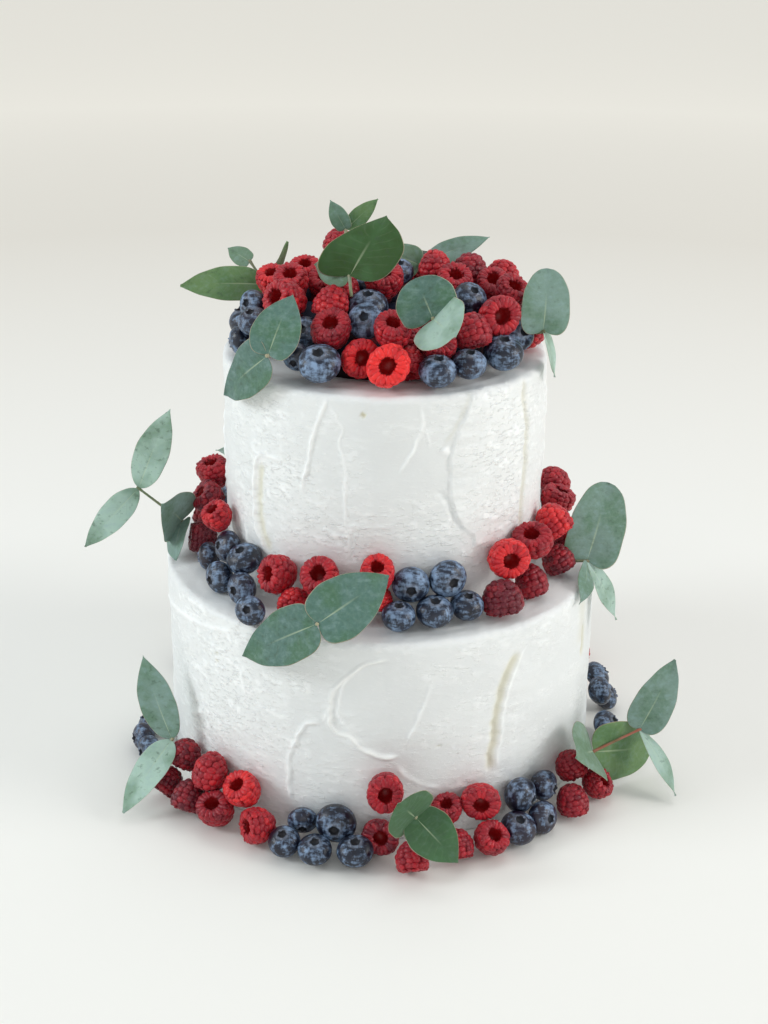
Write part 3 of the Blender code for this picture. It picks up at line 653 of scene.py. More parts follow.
blueberryLook = {
    "skin": paint(10, 14, 30), "mist": paint(38, 56, 82), "bloom": paint(132, 158, 190),
    # lip is a painted highlight on the crown's rim
    "crown": paint(12, 12, 20), "red": paint(34, 14, 34), "lip": paint(136, 148, 168),
    "redShare": 0.6, "mistShare": 0.6, "bloomShare": 0.92, "crownShare": 0.92,
    "cloud": 130, "speck": 1500, "rub": 330, "streak": 620, "rough": 0.28, "bump": 0.00018,
}


def blueberryMaterial():
    sheet = Sheet("blueberrySkin", {"Specular IOR Level": 0.55})
    amount, crown, nearCrown, pick = sheet.marks("skin")[1]
    cloud = sheet.noise(sheet.place(), blueberryLook["cloud"], 2.0, 0.6)
    speck = sheet.noise(sheet.place(), blueberryLook["speck"], 3.0, 0.65)
    rub = sheet.noise(sheet.place((1.0, 0.8, 0.4)), blueberryLook["rub"], 4.0, 0.7)
    streak = sheet.noise(sheet.place((0.35, 1.0, 1.0)), blueberryLook["streak"], 2.0, 0.6)
    mist = (cloud + amount * 0.4).above(0.50, 1.1)
    bloom = (rub * 1.3 + streak * 0.9 + cloud * 0.6 + amount * 0.2).above(1.45, 1.82)
    redness = pick.above(0.55, 1.0) * blueberryLook["redShare"]
    colour = sheet.mix(redness, blueberryLook["skin"], blueberryLook["red"])
    colour = sheet.mix(mist * blueberryLook["mistShare"], colour, blueberryLook["mist"])
    colour = sheet.mix(bloom * blueberryLook["bloomShare"], colour, blueberryLook["bloom"])
    # painted highlight: the crown's raised lip lightened, unevenly, where it catches the light
    colour = sheet.mix(nearCrown * (1 - crown) * (0.25 + rub * 0.4), colour, blueberryLook["lip"])
    colour = sheet.mix(crown * blueberryLook["crownShare"], colour, blueberryLook["crown"])
    rough = blueberryLook["rough"] + mist * 0.12 + bloom * 0.3 + crown * 0.3
    return sheet.finishWith({"Base Color": colour, "Roughness": rough,
                             "Normal": sheet.bump(speck * 0.6 + rub, blueberryLook["bump"])})


berryPlan = planBerries()
raspberryShapes = [raspberryShape(seeds["raspberry"] + i) for i in range(raspberry["variants"])]
blueberryShapes = [blueberryShape(seeds["blueberry"] + i) for i in range(blueberry["variants"])]
raspberrySkin = raspberryMaterial()
blueberrySkin = blueberryMaterial()
for node, berries in berryPlan.items():
    red = [berry for berry in berries if berry[0] == "raspberry"]
    blue = [berry for berry in berries if berry[0] == "blueberry"]
    name = "".join(word.capitalize() for word in node.split("_"))
    half = len(heapRaspberries) if node == "top_fruit_heap" else len(red)
    for label, group in (("Raspberries", red[:half]), ("BackRaspberries", red[half:])):
        if group:
            mesh = placeBerries(group, raspberryShapes)
            makePiece(name + label, mesh, raspberrySkin, "raspberry", node)
    if blue:
        mesh = placeBerries(blue, blueberryShapes)
        makePiece(name + "Blueberries", mesh, blueberrySkin, "blueberry", node)
print("berries placed:", sum(len(berries) for berries in berryPlan.values()))


heapCore = {
    "radius": 55.0, "rows": 56, "columns": 150, "edgeHeight": 4.5, "rise": 27.0, "leastHeight": 0.6,
    # each fall of the mound: where it begins, how far on it reaches 0, and its power
    "sideFall": (0, 71, 8), "frontFall": (0, 63, 1.7), "backFall": (10, 70, 2),
    # domes at spots a golden angle apart
    "bump": 7.5, "bumpLift": 5.0, "bumps": 80, "bumpTurn": 2.39996, "bumpJitter": 0.1,
    # all three colours are painted shade: the hidden fruit darkened as in the heap's shadow, and near black
    # between the domes
    "red": paint(98, 10, 24), "blue": paint(28, 34, 54), "gloom": paint(18, 5, 12),
    "blueFrom": 0.55, "grain": 500, "rough": 0.6, "graininess": 0.0004,
}


def heapCoreHeight(x, y):
    # edgeHeight plus rise times the three falls, each 1 - ((distance - begin) / far)^power
    height = heapCore["rise"]
    for fall, distance in (("sideFall", np.hypot(x, y)), ("frontFall", -y), ("backFall", y)):
        begin, far, power = heapCore[fall]
        height = height * np.maximum(0, 1 - (np.maximum(0, distance - begin) / far) ** power)
    return heapCore["edgeHeight"] + height


def heapCoreShape():
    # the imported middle's height over the tier, with a half-sunk berry's dome at each of the
    # scattered spots: bumpLift * sqrt(1 - (distance / bump)^2)
    reach = np.linspace(heapCore["radius"], 1.0, heapCore["rows"])[:, None]
    angle = np.linspace(0, 2 * np.pi, heapCore["columns"], endpoint=False)
    x, y = reach * np.sin(angle), -reach * np.cos(angle)
    turns = np.arange(heapCore["bumps"])
    spotReach = heapCore["radius"] * np.sqrt((turns + 0.5) / heapCore["bumps"])
    jitter = rng.uniform(-heapCore["bumpJitter"], heapCore["bumpJitter"], heapCore["bumps"])
    spotAngle = turns * heapCore["bumpTurn"] + jitter
    gap = np.hypot(x[..., None] - spotReach * np.sin(spotAngle),
                   y[..., None] + spotReach * np.cos(spotAngle))
    bump = np.sqrt(np.maximum(1 - (gap / heapCore["bump"]) ** 2, 0))
    height = heapCoreHeight(x, y) - cake["coreGap"] - heapCore["bumpLift"] * (1 - bump.max(-1))
    height = np.maximum(height, heapCore["leastHeight"])
    ground = cake["upperTop"] + cake["supportGap"]
    top = np.stack([x + cake["upperShift"], y, ground + height], -1)
    foot = top[:1].copy()
    foot[..., 2] = ground
    points = np.concatenate([foot, top])
    # this mark is 1 between the domes, where the painted shade is darkest
    crease = np.concatenate([np.ones((1, heapCore["columns"])), 1 - bump.max(-1)])
    pick = rng.uniform(0, 1, heapCore["bumps"])[bump.argmax(-1)]
    pick = np.concatenate([pick[:1], pick])
    marks = np.stack([1 + 0 * pick, 0.6 + 0.4 * crease, np.zeros_like(crease), pick], -1)
    return withPoles(points), cappedFaces(*points.shape[:2]), {"skin": withPoles(marks)}


def heapCoreMaterial():
    # fruit in the heap's own shadow: dark crimson and dark blue domes, near black between them
    sheet = Sheet("heapShadowFruit", {"Specular IOR Level": 0.2})
    crease, _, pick = sheet.marks("skin")[1][1:]
    grain = sheet.noise(sheet.place(), heapCore["grain"], 3.0)
    isBlue = pick.above(heapCore["blueFrom"], heapCore["blueFrom"] + 0.01)
    colour = sheet.mix(isBlue, heapCore["red"], heapCore["blue"])
    colour = sheet.mix((crease + grain * 0.2).above(0.72, 1.0), colour, heapCore["gloom"])
    return sheet.finishWith({"Base Color": colour, "Roughness": heapCore["rough"] + grain * 0.2,
                             "Normal": sheet.bump(grain, heapCore["graininess"])})


makePiece("HeapPackedMiddle", heapCoreShape(), heapCoreMaterial(), "mixed_fruit", "top_fruit_heap")
print("heap filled")


# Frosting strokes, listed top to bottom as (bearing, height). ridge and width shape a raised line;
# left and right raise the frosting on the stroke's two sides, fading over leftFade and rightFade mm;
# edge is how softly one side passes into the other. Two tints lie along the line: a beige painted
# shade on a step's face and in a groove, which on one wide stroke is a leaf's painted reflection,
# and a painted highlight on the ridge, a set gain times its ridge where none is given.
highlightByRidge = 2.2


def stroke(points, ridge=0.0, width=0.9, left=0.0, leftFade=8.0, right=0.0, rightFade=8.0,
           edge=0.5, yellow=0.0, white=None):
    return {"points": points, "ridge": ridge, "width": width, "left": left, "leftFade": leftFade,
            "right": right, "rightFade": rightFade, "edge": edge, "yellow": yellow,
            "white": min(1.0, max(0.0, highlightByRidge * ridge)) if white is None else white}


upperStrokes = [
    stroke([(-19, 212), (-22, 200), (-24, 191), (-26, 177), (-28, 169), (-28, 161)], 0.6, 0.9,
           left=0.25, leftFade=6, right=-0.15, rightFade=10),
    stroke([(-44, 177), (-47, 174), (-49, 167), (-50, 150), (-49, 139), (-46, 132), (-44, 125)],
           0.45, 1.8, left=1.1, leftFade=10, right=-0.35, rightFade=10, white=1.0),
    # a groove beside the step above, tinted beige as painted shade on the step's face
    stroke([(-44.8, 173), (-46.8, 167), (-47.8, 150), (-46.8, 139), (-43.8, 132), (-41.8, 126)],
           -0.3, 2.0, yellow=0.6),
    stroke([(-17, 208), (-18, 206), (-16, 203), (-16, 201), (-14, 197), (-15, 189), (-14, 184),
            (-13, 177), (-13, 163), (-13, 153), (-12, 143), (-12, 136), (-13, 131)], 0.32, 0.7,
           right=-0.1),
    stroke([(11, 210), (12, 199), (10, 191), (8, 185), (4, 175)], 0.3, 0.8),
    stroke([(12, 199), (14, 193), (15, 187)], 0.25, 0.7),
    stroke([(29, 214), (26, 205), (23, 196), (19, 188)], 0.0, 1.0, left=-0.3, leftFade=3,
           right=0.9, rightFade=8, edge=2.2, yellow=0.2),
    stroke([(19, 188), (20, 186), (22, 184)], 0.7, 2.2),
    stroke([(30, 213), (27, 204), (24, 194), (22, 184), (22, 176), (22, 166), (23, 160), (25, 150),
            (29, 144), (32, 140), (32, 133)], 0.25, 0.8, left=-0.3, leftFade=4, right=1.1,
           rightFade=16, edge=0.6),
    stroke([(16, 167), (20, 164), (22, 158), (24, 151), (27, 145)], -0.45, 1.3, right=0.2),
    stroke([(54, 213), (54, 201), (57, 187), (57, 172), (56, 157), (55, 143), (55, 134)], -0.8, 1.5,
           right=0.9, rightFade=9, yellow=0.4),
    stroke([(77, 202), (83, 178), (83, 162), (83, 146)], 0.5, 1.4, left=0.3),
    stroke([(-20, 156), (-15, 151), (-9, 150), (-2, 150), (4, 151)], 0.2, 0.8),
    stroke([(-49, 175), (-42, 177), (-35, 177)], 0.35, 1.2),
    stroke([(-58, 137), (-56, 132), (-55, 125)], 0.6, 1.0),
    stroke([(-8, 205), (-7, 204), (-6, 203)], -0.6, 1.0, yellow=1.0),
]

lowerStrokes = [
    stroke([(2, 98), (-1, 97), (-4, 95), (-7, 90), (-10, 84), (-12, 77), (-12, 68), (-12, 62),
            (-10, 58), (-7, 56), (-5, 51), (-2, 48), (1, 46), (5, 47)], 0.8, 1.0, left=0.2,
           leftFade=6, right=-0.55, rightFade=14, yellow=0.1),
    stroke([(-6, 91), (-9, 84), (-10, 76), (-10, 67), (-8, 60)], 0.4, 0.7),
    stroke([(12, 86), (11, 78), (10, 73), (9, 67), (7, 58), (6, 50)], 0.35, 0.8, right=0.45,
           rightFade=12, edge=0.8, white=0.7),
    stroke([(-14, 62), (-17, 62), (-19, 59), (-21, 51), (-23, 40), (-23, 30), (-23, 22), (-22, 15)],
           0.75, 1.1, left=0.25, leftFade=5, right=-0.25, rightFade=10),
    stroke([(36, 92), (33, 86), (31, 77), (30, 69), (29, 58), (29, 47), (28, 39), (28, 29)],
           -0.8, 2.1, left=-0.1, right=1.0, rightFade=11, yellow=0.7),
    stroke([(38, 94), (35, 86), (33, 77), (32, 69), (31, 58), (31, 47), (30, 39), (30, 29)],
           0.25, 0.7, white=0.8),
    stroke([(-36, 83), (-36, 75), (-35, 66)], 0.5, 1.0),
    stroke([(4, 43), (5, 38), (8, 33), (11, 30), (16, 27)], 0.35, 1.2, right=-0.15),
    stroke([(-60, 36), (-54, 43), (-51, 44)], 0.8, 2.0),
    stroke([(-13, 69), (-14, 63)], 0.35, 0.8),
    stroke([(-81, 85), (-64, 91), (-49, 95), (-39, 99)], 0.4, 1.6, right=-0.2),
    stroke([(65, 86), (66, 73), (65, 63)], -0.7, 1.8, right=0.5, rightFade=7, yellow=0.7),
    # a wide faint tint here is a leaf's painted reflection in the frosting
    stroke([(63, 103), (64, 90), (64, 72)], 0.0, 5.0, yellow=0.3),
    stroke([(-47, 26), (-38, 24), (-33, 15)], 0.4, 1.2),
    stroke([(14, 51), (14, 49)], -0.6, 1.0, yellow=0.4),
    stroke([(-45, 84), (-45, 82)], -0.6, 1.0, yellow=0.6),
    stroke([(-45, 80), (-45, 78)], -0.5, 0.9, yellow=0.6),
]

# rough is how torn a tier's frosting is everywhere, and each zone adds to it round a spot:
# bearing, height, reach in degrees, reach in mm, amount. The top has rings down to fineTo.
tierPlans = {
    "lower_tier": {
        "piece": "LowerTierFrosting", "radius": cake["lowerRadius"], "base": 0.0,
        "top": cake["lowerTop"], "shift": 0.0, "fineTo": 79.0, "strokes": lowerStrokes,
        "backStrokes": 13, "seed": 3, "rough": 0.3, "zones": [
            (-50, 60, 30, 70, 0.55), (0, 74, 12, 26, -0.4), (15, 18, 45, 20, 0.25),
            (48, 62, 18, 38, -0.2)]},
    "upper_tier": {
        "piece": "UpperTierFrosting", "radius": cake["upperRadius"], "base": cake["upperBase"],
        "top": cake["upperTop"], "shift": cake["upperShift"], "fineTo": 54.0,
        "strokes": upperStrokes, "backStrokes": 10, "seed": 8, "rough": 0.25, "zones": [
            (-42, 165, 24, 60, 0.55), (48, 165, 24, 70, 0.55), (-2, 188, 17, 26, -0.4),
            (0, 138, 30, 16, 0.3)]},
}
frosting = {
    # frontShare of the columns lie within frontHalf degrees of the front
    "columns": 650, "frontHalf": 100.0, "frontShare": 0.73, "sideStep": 0.86, "rimRows": 6,
    "topStep": 1.6, "topMiddle": 8.0, "topRows": 5,
    "swell": 0.5, "ridgeGain": 1.3, "wobble": 0.7, "slant": 0.25,
    # noise: height in mm, cell width, cell height
    "broad": (0.36, 21.0, 15.0), "medium": (0.13, 5.0, 2.2), "fine": (0.06, 2.3, 1.2),
    "flake": (0.26, 3.4, 1.5), "torn": (0.45, 13.0, 9.0), "lipWaves": ((0.35, 9.0), (0.2, 2.7)),
    "topWaves": ((0.12, 3.5, 2.0), (0.3, 15, 4.0)), "topSweep": 0.28, "sweepCell": 26.0,
    "flakeFrom": 0.22, "flakeFade": 0.25, "flakeHighlight": 0.7, "smoothByStrokes": 0.75,
    "lipInside": 2.3, "lipWidth": 3.2, "topFade": 8.0, "lowGain": 0.4, "lowHeight": 45.0,
    # a stroke fades over endFade mm or endShare of it, and varies by uneven along it
    "endFade": 6, "endShare": 0.3, "uneven": (0.45, 5.0, 4.0), "glintWidth": 0.8,
    # the back's strokes: bearings, top and bottom as shares of the height, bow and lean in degrees
    "backFrom": 88, "backSpan": 184, "backHigh": (0.55, 0.97), "backLow": (0.06, 0.4),
    "backBow": 7, "backLean": 8, "backPoints": 7,
}


def strokeRelief(bearing, share):
    # how deep, 0 to 1, the broad spatula strokes are pressed at a bearing in radians and height share
    sweep = np.sin(5 * bearing + 2.4 * share) + 0.6 * np.sin(11 * bearing - 3.1 * share + 1.0)
    swirl = 0.5 * np.sin(3 * bearing + 9.0 * share + 0.7)
    return np.clip((share - 0.2) / 0.2, 0, 1) * (0.5 + 0.24 * (sweep + swirl))


def backStrokes(plan, draw):
    # arcs in the manner of the front's strokes, at spots spread evenly over the sides and back
    made = []
    count = plan["backStrokes"]
    height = plan["top"] - plan["base"]
    for i in range(count):
        bearing = frosting["backFrom"] + frosting["backSpan"] * (i + draw.uniform(0.1, 0.9)) / count
        high = plan["base"] + height * draw.uniform(*frosting["backHigh"])
        low = plan["base"] + height * draw.uniform(*frosting["backLow"])
        bow = draw.uniform(-frosting["backBow"], frosting["backBow"])
        lean = draw.uniform(-frosting["backLean"], frosting["backLean"])
        share = np.linspace(0, 1, frosting["backPoints"])
        bearings = bearing + bow * np.sin(np.pi * share) + lean * share
        bearings = bearings + draw.uniform(-0.5, 0.5, frosting["backPoints"])
        points = np.stack([bearings, high + (low - high) * share], -1)
        made.append(stroke(points, draw.uniform(0.2, 0.7), draw.uniform(0.7, 1.2),
                           left=draw.uniform(-0.2, 0.7), leftFade=draw.uniform(5, 12),
                           right=draw.uniform(-0.4, 0.5), rightFade=draw.uniform(6, 14)))
    return made


def strokeHeight(spec, across, up, radius):
    # d is the signed distance from the stroke's line, right of it positive: ridge * exp(-(d/width)^2)
    # plus left * exp(-|d|/leftFade) on one side and right * exp(-|d|/rightFade) on the other.
    # Gives the height, the painted shade and reflection tint, and the painted highlight there
    line = throughPoints(np.asarray(spec["points"], float) * [math.radians(radius), 1.0], 4)
    lengths = arcLengths(line)
    nearest = np.full(across.shape, np.inf)
    signed = np.zeros(across.shape)
    along = np.zeros(across.shape)
    for start, end, before in zip(line, line[1:], lengths):
        step = end - start
        span = np.hypot(*step)
        t = np.clip(((across - start[0]) * step[0] + (up - start[1]) * step[1]) / span ** 2, 0, 1)
        dx, dz = across - start[0] - t * step[0], up - start[1] - t * step[1]
        gap = np.hypot(dx, dz)
        side = np.sign(step[0] * (up - start[1]) - step[1] * (across - start[0]))
        closer = gap < nearest
        nearest = np.where(closer, gap, nearest)
        signed = np.where(closer, gap * side, signed)
        along = np.where(closer, before + t * span, along)
    total = lengths[-1]
    fadeLength = min(frosting["endFade"], frosting["endShare"] * total)
    fade = smooth(along / fadeLength) * smooth((total - along) / fadeLength)
    amount, longCell, tallCell = frosting["uneven"]
    uneven = 1 + amount * softNoise(along / longCell, up / tallCell, total)
    rightSide = 0.5 + 0.5 * np.tanh(signed / spec["edge"])
    steps = (spec["left"] * np.exp(-nearest / spec["leftFade"]) * (1 - rightSide)
             + spec["right"] * np.exp(-nearest / spec["rightFade"]) * rightSide)
    line = np.exp(-(signed / spec["width"]) ** 2)
    glint = np.exp(-(signed / (frosting["glintWidth"] * spec["width"])) ** 2)
    glint = fade * uneven * spec["white"] * glint
    ridge = frosting["ridgeGain"] * spec["ridge"] * line
    return fade * uneven * (steps + ridge), fade * spec["yellow"] * line, glint


def cellNoise(kind, x, y, up, seed, shift=0):
    _, wide, tall = frosting[kind]
    return softNoise(x / wide, y / wide, up / tall + seed + shift)


def tierShape(plan):
    # a meridian (side, round rim, top) turned round the axis on bearings that are closest at the
    # front; each point moves along the meridian's normal by the sum of strokes and noise
    draw = np.random.default_rng(plan["seed"])
    radius, base, top, rim = plan["radius"], plan["base"], plan["top"], cake["rimRadius"]
    share = frosting["frontShare"]
    u = np.arange(frosting["columns"]) / frosting["columns"]
    bearing = np.interp(u, [0, (1 - share) / 2, (1 + share) / 2, 1],
                        [-180, -frosting["frontHalf"], frosting["frontHalf"], 180])
    angle = np.radians(bearing)
    sideUp = np.linspace(base, top - rim, round((top - rim - base) / frosting["sideStep"]))
    bend = np.linspace(0, np.pi / 2, frosting["rimRows"] + 1)[1:]
    flat = np.concatenate([
        np.arange(radius - rim - frosting["topStep"], plan["fineTo"], -frosting["topStep"]),
        np.linspace(plan["fineTo"], frosting["topMiddle"], frosting["topRows"])])
    reach = np.concatenate([[radius - 1.0], np.full(len(sideUp), radius),
                            radius - rim + rim * np.cos(bend), flat])
    up = np.concatenate([[base], sideUp, top - rim + rim * np.sin(bend), np.full(len(flat), top)])
    arc = np.concatenate([[base], sideUp, top - rim + rim * bend,
                          top - rim + rim * np.pi / 2 + radius - rim - flat])
    outward = np.concatenate([[0], np.ones(len(sideUp)), np.cos(bend), np.zeros(len(flat))])
    upward = np.concatenate([[0], np.zeros(len(sideUp)), np.sin(bend), np.ones(len(flat))])
    reach, up, arc, outward, upward = (x[:, None] for x in (reach, up, arc, outward, upward))
    x, y = reach * np.sin(angle), -reach * np.cos(angle)
    wobble = frosting["wobble"] * softNoise(x / 4.0, y / 4.0, up / 3.0 + 9.0)
    across = angle * radius + wobble
    onSide = 1 - smooth((arc - (top - rim)) / frosting["topFade"])
    height, yellow, white = (np.zeros(across.shape) for _ in range(3))
    for spec in plan["strokes"] + backStrokes(plan, draw):
        centre = np.mean([point[0] for point in spec["points"]])
        turned = across - 2 * np.pi * radius * np.round((angle - math.radians(centre)) / (2 * np.pi))
        made, tinted, glint = strokeHeight(spec, turned, arc + 0.3 * wobble, radius)
        height += made
        # each point keeps the strongest painted shade tint and painted highlight of the strokes
        yellow = np.maximum(yellow, tinted)
        white = np.maximum(white, glint)
    seed = plan["seed"] * 1.37
    slant = up + frosting["slant"] * x
    broad = cellNoise("broad", x, y, up, seed)
    medium = cellNoise("medium", x, y, slant, seed)
    fine = cellNoise("fine", x, y, slant, seed)
    torn = plan["rough"] + frosting["torn"][0] * cellNoise("torn", x, y, up, seed, 5)
    for middle, level, wide, tall, amount in plan["zones"]:
        away = (bearing - middle + 180) % 360 - 180
        torn = torn + amount * np.exp(-(away / wide) ** 2 - ((up - level) / tall) ** 2)
    torn = np.clip(torn, 0, 1) * onSide * (1 - frosting["smoothByStrokes"] * np.maximum(yellow, white))
    chips = cellNoise("flake", x, y, slant, seed, 3)
    flake = smooth((chips - frosting["flakeFrom"]) / frosting["flakeFade"]) * torn
    low = 1 + frosting["lowGain"] * smooth(1 - (up - base) / frosting["lowHeight"])
    height = height + frosting["swell"] + frosting["broad"][0] * broad + frosting["flake"][0] * flake
    grain = frosting["medium"][0] * medium + frosting["fine"][0] * fine
    height += low * (0.15 + 0.85 * torn) * grain
    # raised flakes get a painted highlight
    white = np.maximum(white, frosting["flakeHighlight"] * flake)
    height -= cake["strokeDepth"] * strokeRelief(angle, (up - base) / (top - base))
    ring = radius / frosting["sweepCell"]
    sweeps = softNoise(ring * np.sin(angle), ring * np.cos(angle), reach / 2.6)
    topHeight = frosting["topSweep"] * sweeps
    for amount, cell, level in frosting["topWaves"]:
        topHeight = topHeight + amount * softNoise(x / cell, y / cell, level)
    lip = np.exp(-((arc - (top - rim + frosting["lipInside"])) / frosting["lipWidth"]) ** 2)
    height = onSide * height + (1 - onSide) * topHeight
    height += lip * sum(amount * softNoise(x / cell, y / cell, seed)
                        for amount, cell in frosting["lipWaves"])
    height[0] = 0
    points = np.stack([
        plan["shift"] + x + height * outward * np.sin(angle),
        y - height * outward * np.cos(angle),
        up + height * upward], -1)
    points[..., 2] = np.maximum(points[..., 2], base)
    return points, yellow, torn, white * onSide


def stainFrom(points, berries):
    # 1 where a raspberry touches the frosting, fading out stainReach mm away from it
    stain = np.zeros(points.shape[:-1])
    for kind, centre, radius, _, _ in berries:
        if kind == "raspberry":
            gap = np.linalg.norm(points - centre, axis=-1) - radius
            stain = np.maximum(stain, smooth(1 - (gap + 0.5) / frostingLook["stainReach"]))
    return stain


frostingLook = {
    # besides the cream: painted shade for smooth panels, a beige painted shade for steps and grooves that is
    # also a leaf's painted reflection, the raspberries' stain, a painted highlight, and painted shade for
    # nicks and holes
    "cream": (0.855, 0.875, 0.865, 1.0), "shade": (0.765, 0.785, 0.78, 1.0),
    "yellow": paint(208, 200, 160), "stain": paint(226, 150, 164), "white": (0.97, 0.99, 0.985, 1.0),
    "pit": (0.69, 0.72, 0.72, 1.0), "stainReach": 2.5,
    "nickShadeShare": 0.12, "holeShadeShare": 0.28, "chipHighlightShare": 0.85, "stepShadeAndReflectionShare": 0.75, "stainShare": 0.36,
    "cloud": 45, "dash": 290, "slash": 260, "grain": 1400, "pits": 300.0, "rough": 0.38, "bump": 0.00042,
}


def frostingMaterial():
    sheet = Sheet("frostingCream", {
        "Subsurface Weight": 0.12, "Subsurface Radius": (1.0, 0.9, 0.8), "Subsurface Scale": 0.0012,
        "Specular IOR Level": 0.3})
    yellow, stain, torn, white = sheet.marks("marks")[1]
    cloud = sheet.noise(sheet.place(), frostingLook["cloud"], 3.0)
    dash = sheet.noise(sheet.place((1.0, 1.0, 2.6), 0.35), frostingLook["dash"], 4.0, 0.62)
    slash = sheet.noise(sheet.place((1.0, 1.0, 3.0), -0.5), frostingLook["slash"], 3.0, 0.6)
    grain = sheet.noise(sheet.place((1.0, 1.0, 2.0)), frostingLook["grain"], 2.0, 0.6)
    pit = sheet.node("ShaderNodeTexVoronoi", None,
                     {"Vector": sheet.place((1.0, 1.0, 1.6)), "Scale": frostingLook["pits"]})
    # chips are raised flecks, lightened below as a painted highlight
    chip = dash.above(0.55, 0.66) * (0.12 + torn * 0.88)
    nick = (1 - slash.above(0.28, 0.38)) * (0.1 + torn * 0.7)
    hole = (1 - pit.above(0.05, 0.20)) * torn
    # smooth, untorn frosting is greyed towards the second colour as painted shade, and cloud noise varies it
    # at random
    colour = sheet.mix(cloud.above(0.35, 0.7) * 0.4 + (1 - torn) * 0.6, frostingLook["cream"],
                       frostingLook["shade"])
    # painted shade in the nicks and holes
    dark = nick * frostingLook["nickShadeShare"] + hole * frostingLook["holeShadeShare"]
    colour = sheet.mix(dark, colour, frostingLook["pit"])
    # painted highlight on chips, ridges and flakes
    colour = sheet.mix(chip * frostingLook["chipHighlightShare"] + white, colour, frostingLook["white"])
    # beige painted shade at steps and grooves, and a leaf's painted reflection
    colour = sheet.mix(yellow * frostingLook["stepShadeAndReflectionShare"], colour, frostingLook["yellow"])
    colour = sheet.mix(stain * frostingLook["stainShare"], colour, frostingLook["stain"])
    height = dash * 0.25 + chip * 0.65 - nick * 0.12 - hole * 0.35 + grain * 0.1
    return sheet.finishWith({"Base Color": colour, "Roughness": frostingLook["rough"] + dash * 0.25,
                             "Normal": sheet.bump(height, frostingLook["bump"])})


frostingCream = frostingMaterial()
allBerries = [berry for berries in berryPlan.values() for berry in berries]
for node, plan in tierPlans.items():
    points, yellow, torn, white = tierShape(plan)
    stain = stainFrom(points, allBerries)
    marks = withPoles(np.stack([yellow, stain, torn, white], -1))
    mesh = (withPoles(points), cappedFaces(*points.shape[:2]), {"marks": marks})
    makePiece(plan["piece"], mesh, frostingCream, "frosting", node)
print("tiers frosted")


# Each sprig is (stem points, leaves, stem tint). The last stem point is its cut end among the berries.
# A leaf is (stem point it grows from, tip, width, facing bearing, facing lift, tint).
sprigs = {
    "top_sprig_left": ([(-67, 30, 247), (-59, 24, 237), (-57, 19, 239)], [
        (1, (-101, 16, 238), 19, 0, 35, "moss"), (0, (-79, 38, 252), 10, 10, 20, "sage"),
        (1, (-48, 28, 258), 14, 75, 10, "moss")], "olive"),
    "top_sprig_front_left": ([(-52, -62, 226), (-46, -58, 225)], [
        (0, (-41, -50, 251), 23, -15, 25, "sea"), (0, (-74, -44, 201), 25, -15, 35, "sea")], "tan"),
    "top_sprig_tall": ([(-18, -14, 273), (-16, -28, 254), (-15, -33, 246)], [
        (1, (1, -36, 284), 38, -10, 20, "deep"), (1, (-33, -9, 255), 13, -10, 12, "sage"),
        (0, (-25, -16, 287), 9, -10, 10, "silver"), (0, (-3, -12, 287), 8.5, 20, 30, "moss")], "tan"),
    "top_sprig_middle": ([(18, 27, 247), (22, 17, 248)], [
        (0, (0, 26, 254), 16, 0, 20, "sage"), (0, (53, 28, 261), 12, -5, 30, "silver")], "olive"),
    "top_sprig_front_right": ([(22, -60, 243), (23, -58, 238)], [
        (0, (14, -58, 261), 28, -5, 25, "sea"), (0, (31, -78, 240), 28, -55, 42, "pale")], "tan"),
    "top_sprig_right": ([(75, -30, 229), (72, -29, 228)], [
        (0, (76, -25, 258), 24, 10, 10, "silver"), (0, (82, -28, 206), 18, 75, 15, "pale")], "olive"),
    "top_sprig_back": ([(10, 78, 236), (9, 72, 234)], [
        (0, (-14, 86, 246), 18, 190, 25, "silver"), (0, (38, 86, 234), 17, 170, 35, "sea")], "olive"),
    "ledge_sprig_left": ([(-126, 4, 134), (-103, -6, 120), (-100, -8, 118)], [
        (0, (-108, 8, 176), 18, -5, 15, "pale"), (0, (-154, -6, 105), 15, 0, 25, "pale"),
        (1, (-109, -28, 139), 28, 62, -15, "silver"), (1, (-104, -28, 108), 17, -30, 10, "silver")],
        "olive"),
    "ledge_sprig_front": ([(-29, -113, 117), (-31, -102, 112)], [
        (0, (3, -104, 137), 28, 0, 25, "sea"), (0, (-64, -98, 92), 26, -20, 30, "sea")], "tan"),
    "ledge_sprig_right": ([(103, -32, 111), (97, -34, 112)], [
        (0, (113, -18, 148), 30, 10, 15, "silver"), (0, (119, -38, 81), 16, 60, 35, "pale"),
        (0, (96, -62, 102), 11, 30, 20, "silver")], "olive"),
    "ledge_sprig_back": ([(-64, 98, 116), (-58, 86, 114)], [
        (0, (-40, 112, 132), 22, 200, 20, "sea"), (0, (-96, 92, 122), 21, 215, 35, "pale")], "olive"),
    "foot_sprig_left": ([(-104, -70, 29), (-110, -70, 18)], [
        (0, (-118, -58, 70), 19, -10, 15, "silver"), (0, (-125, -100, 6), 17, -15, 45, "pale")],
        "tan"),
    "foot_sprig_front": ([(16, -139, 32), (15, -139, 19)], [
        (0, (8, -148, 46), 26, 38, -10, "fern"), (0, (35, -152, 17), 22, 5, 35, "fern")], "tan"),
    "foot_sprig_right": ([(131, -60, 30), (107, -68, 22), (104, -70, 21)], [
        (0, (148, -50, 65), 22, 5, 15, "silver"), (0, (148, -80, 4), 14, 60, 35, "pale"),
        (1, (140, -48, 13), 32, 0, 15, "moss"), (1, (94, -96, 37), 32, 86, 35, "sage")], "rust"),
    "foot_sprig_back": ([(36, 136, 20), (34, 128, 16)], [
        (0, (8, 142, 40), 22, 180, 25, "silver"), (0, (66, 134, 30), 20, 165, 35, "sage")], "olive"),
}
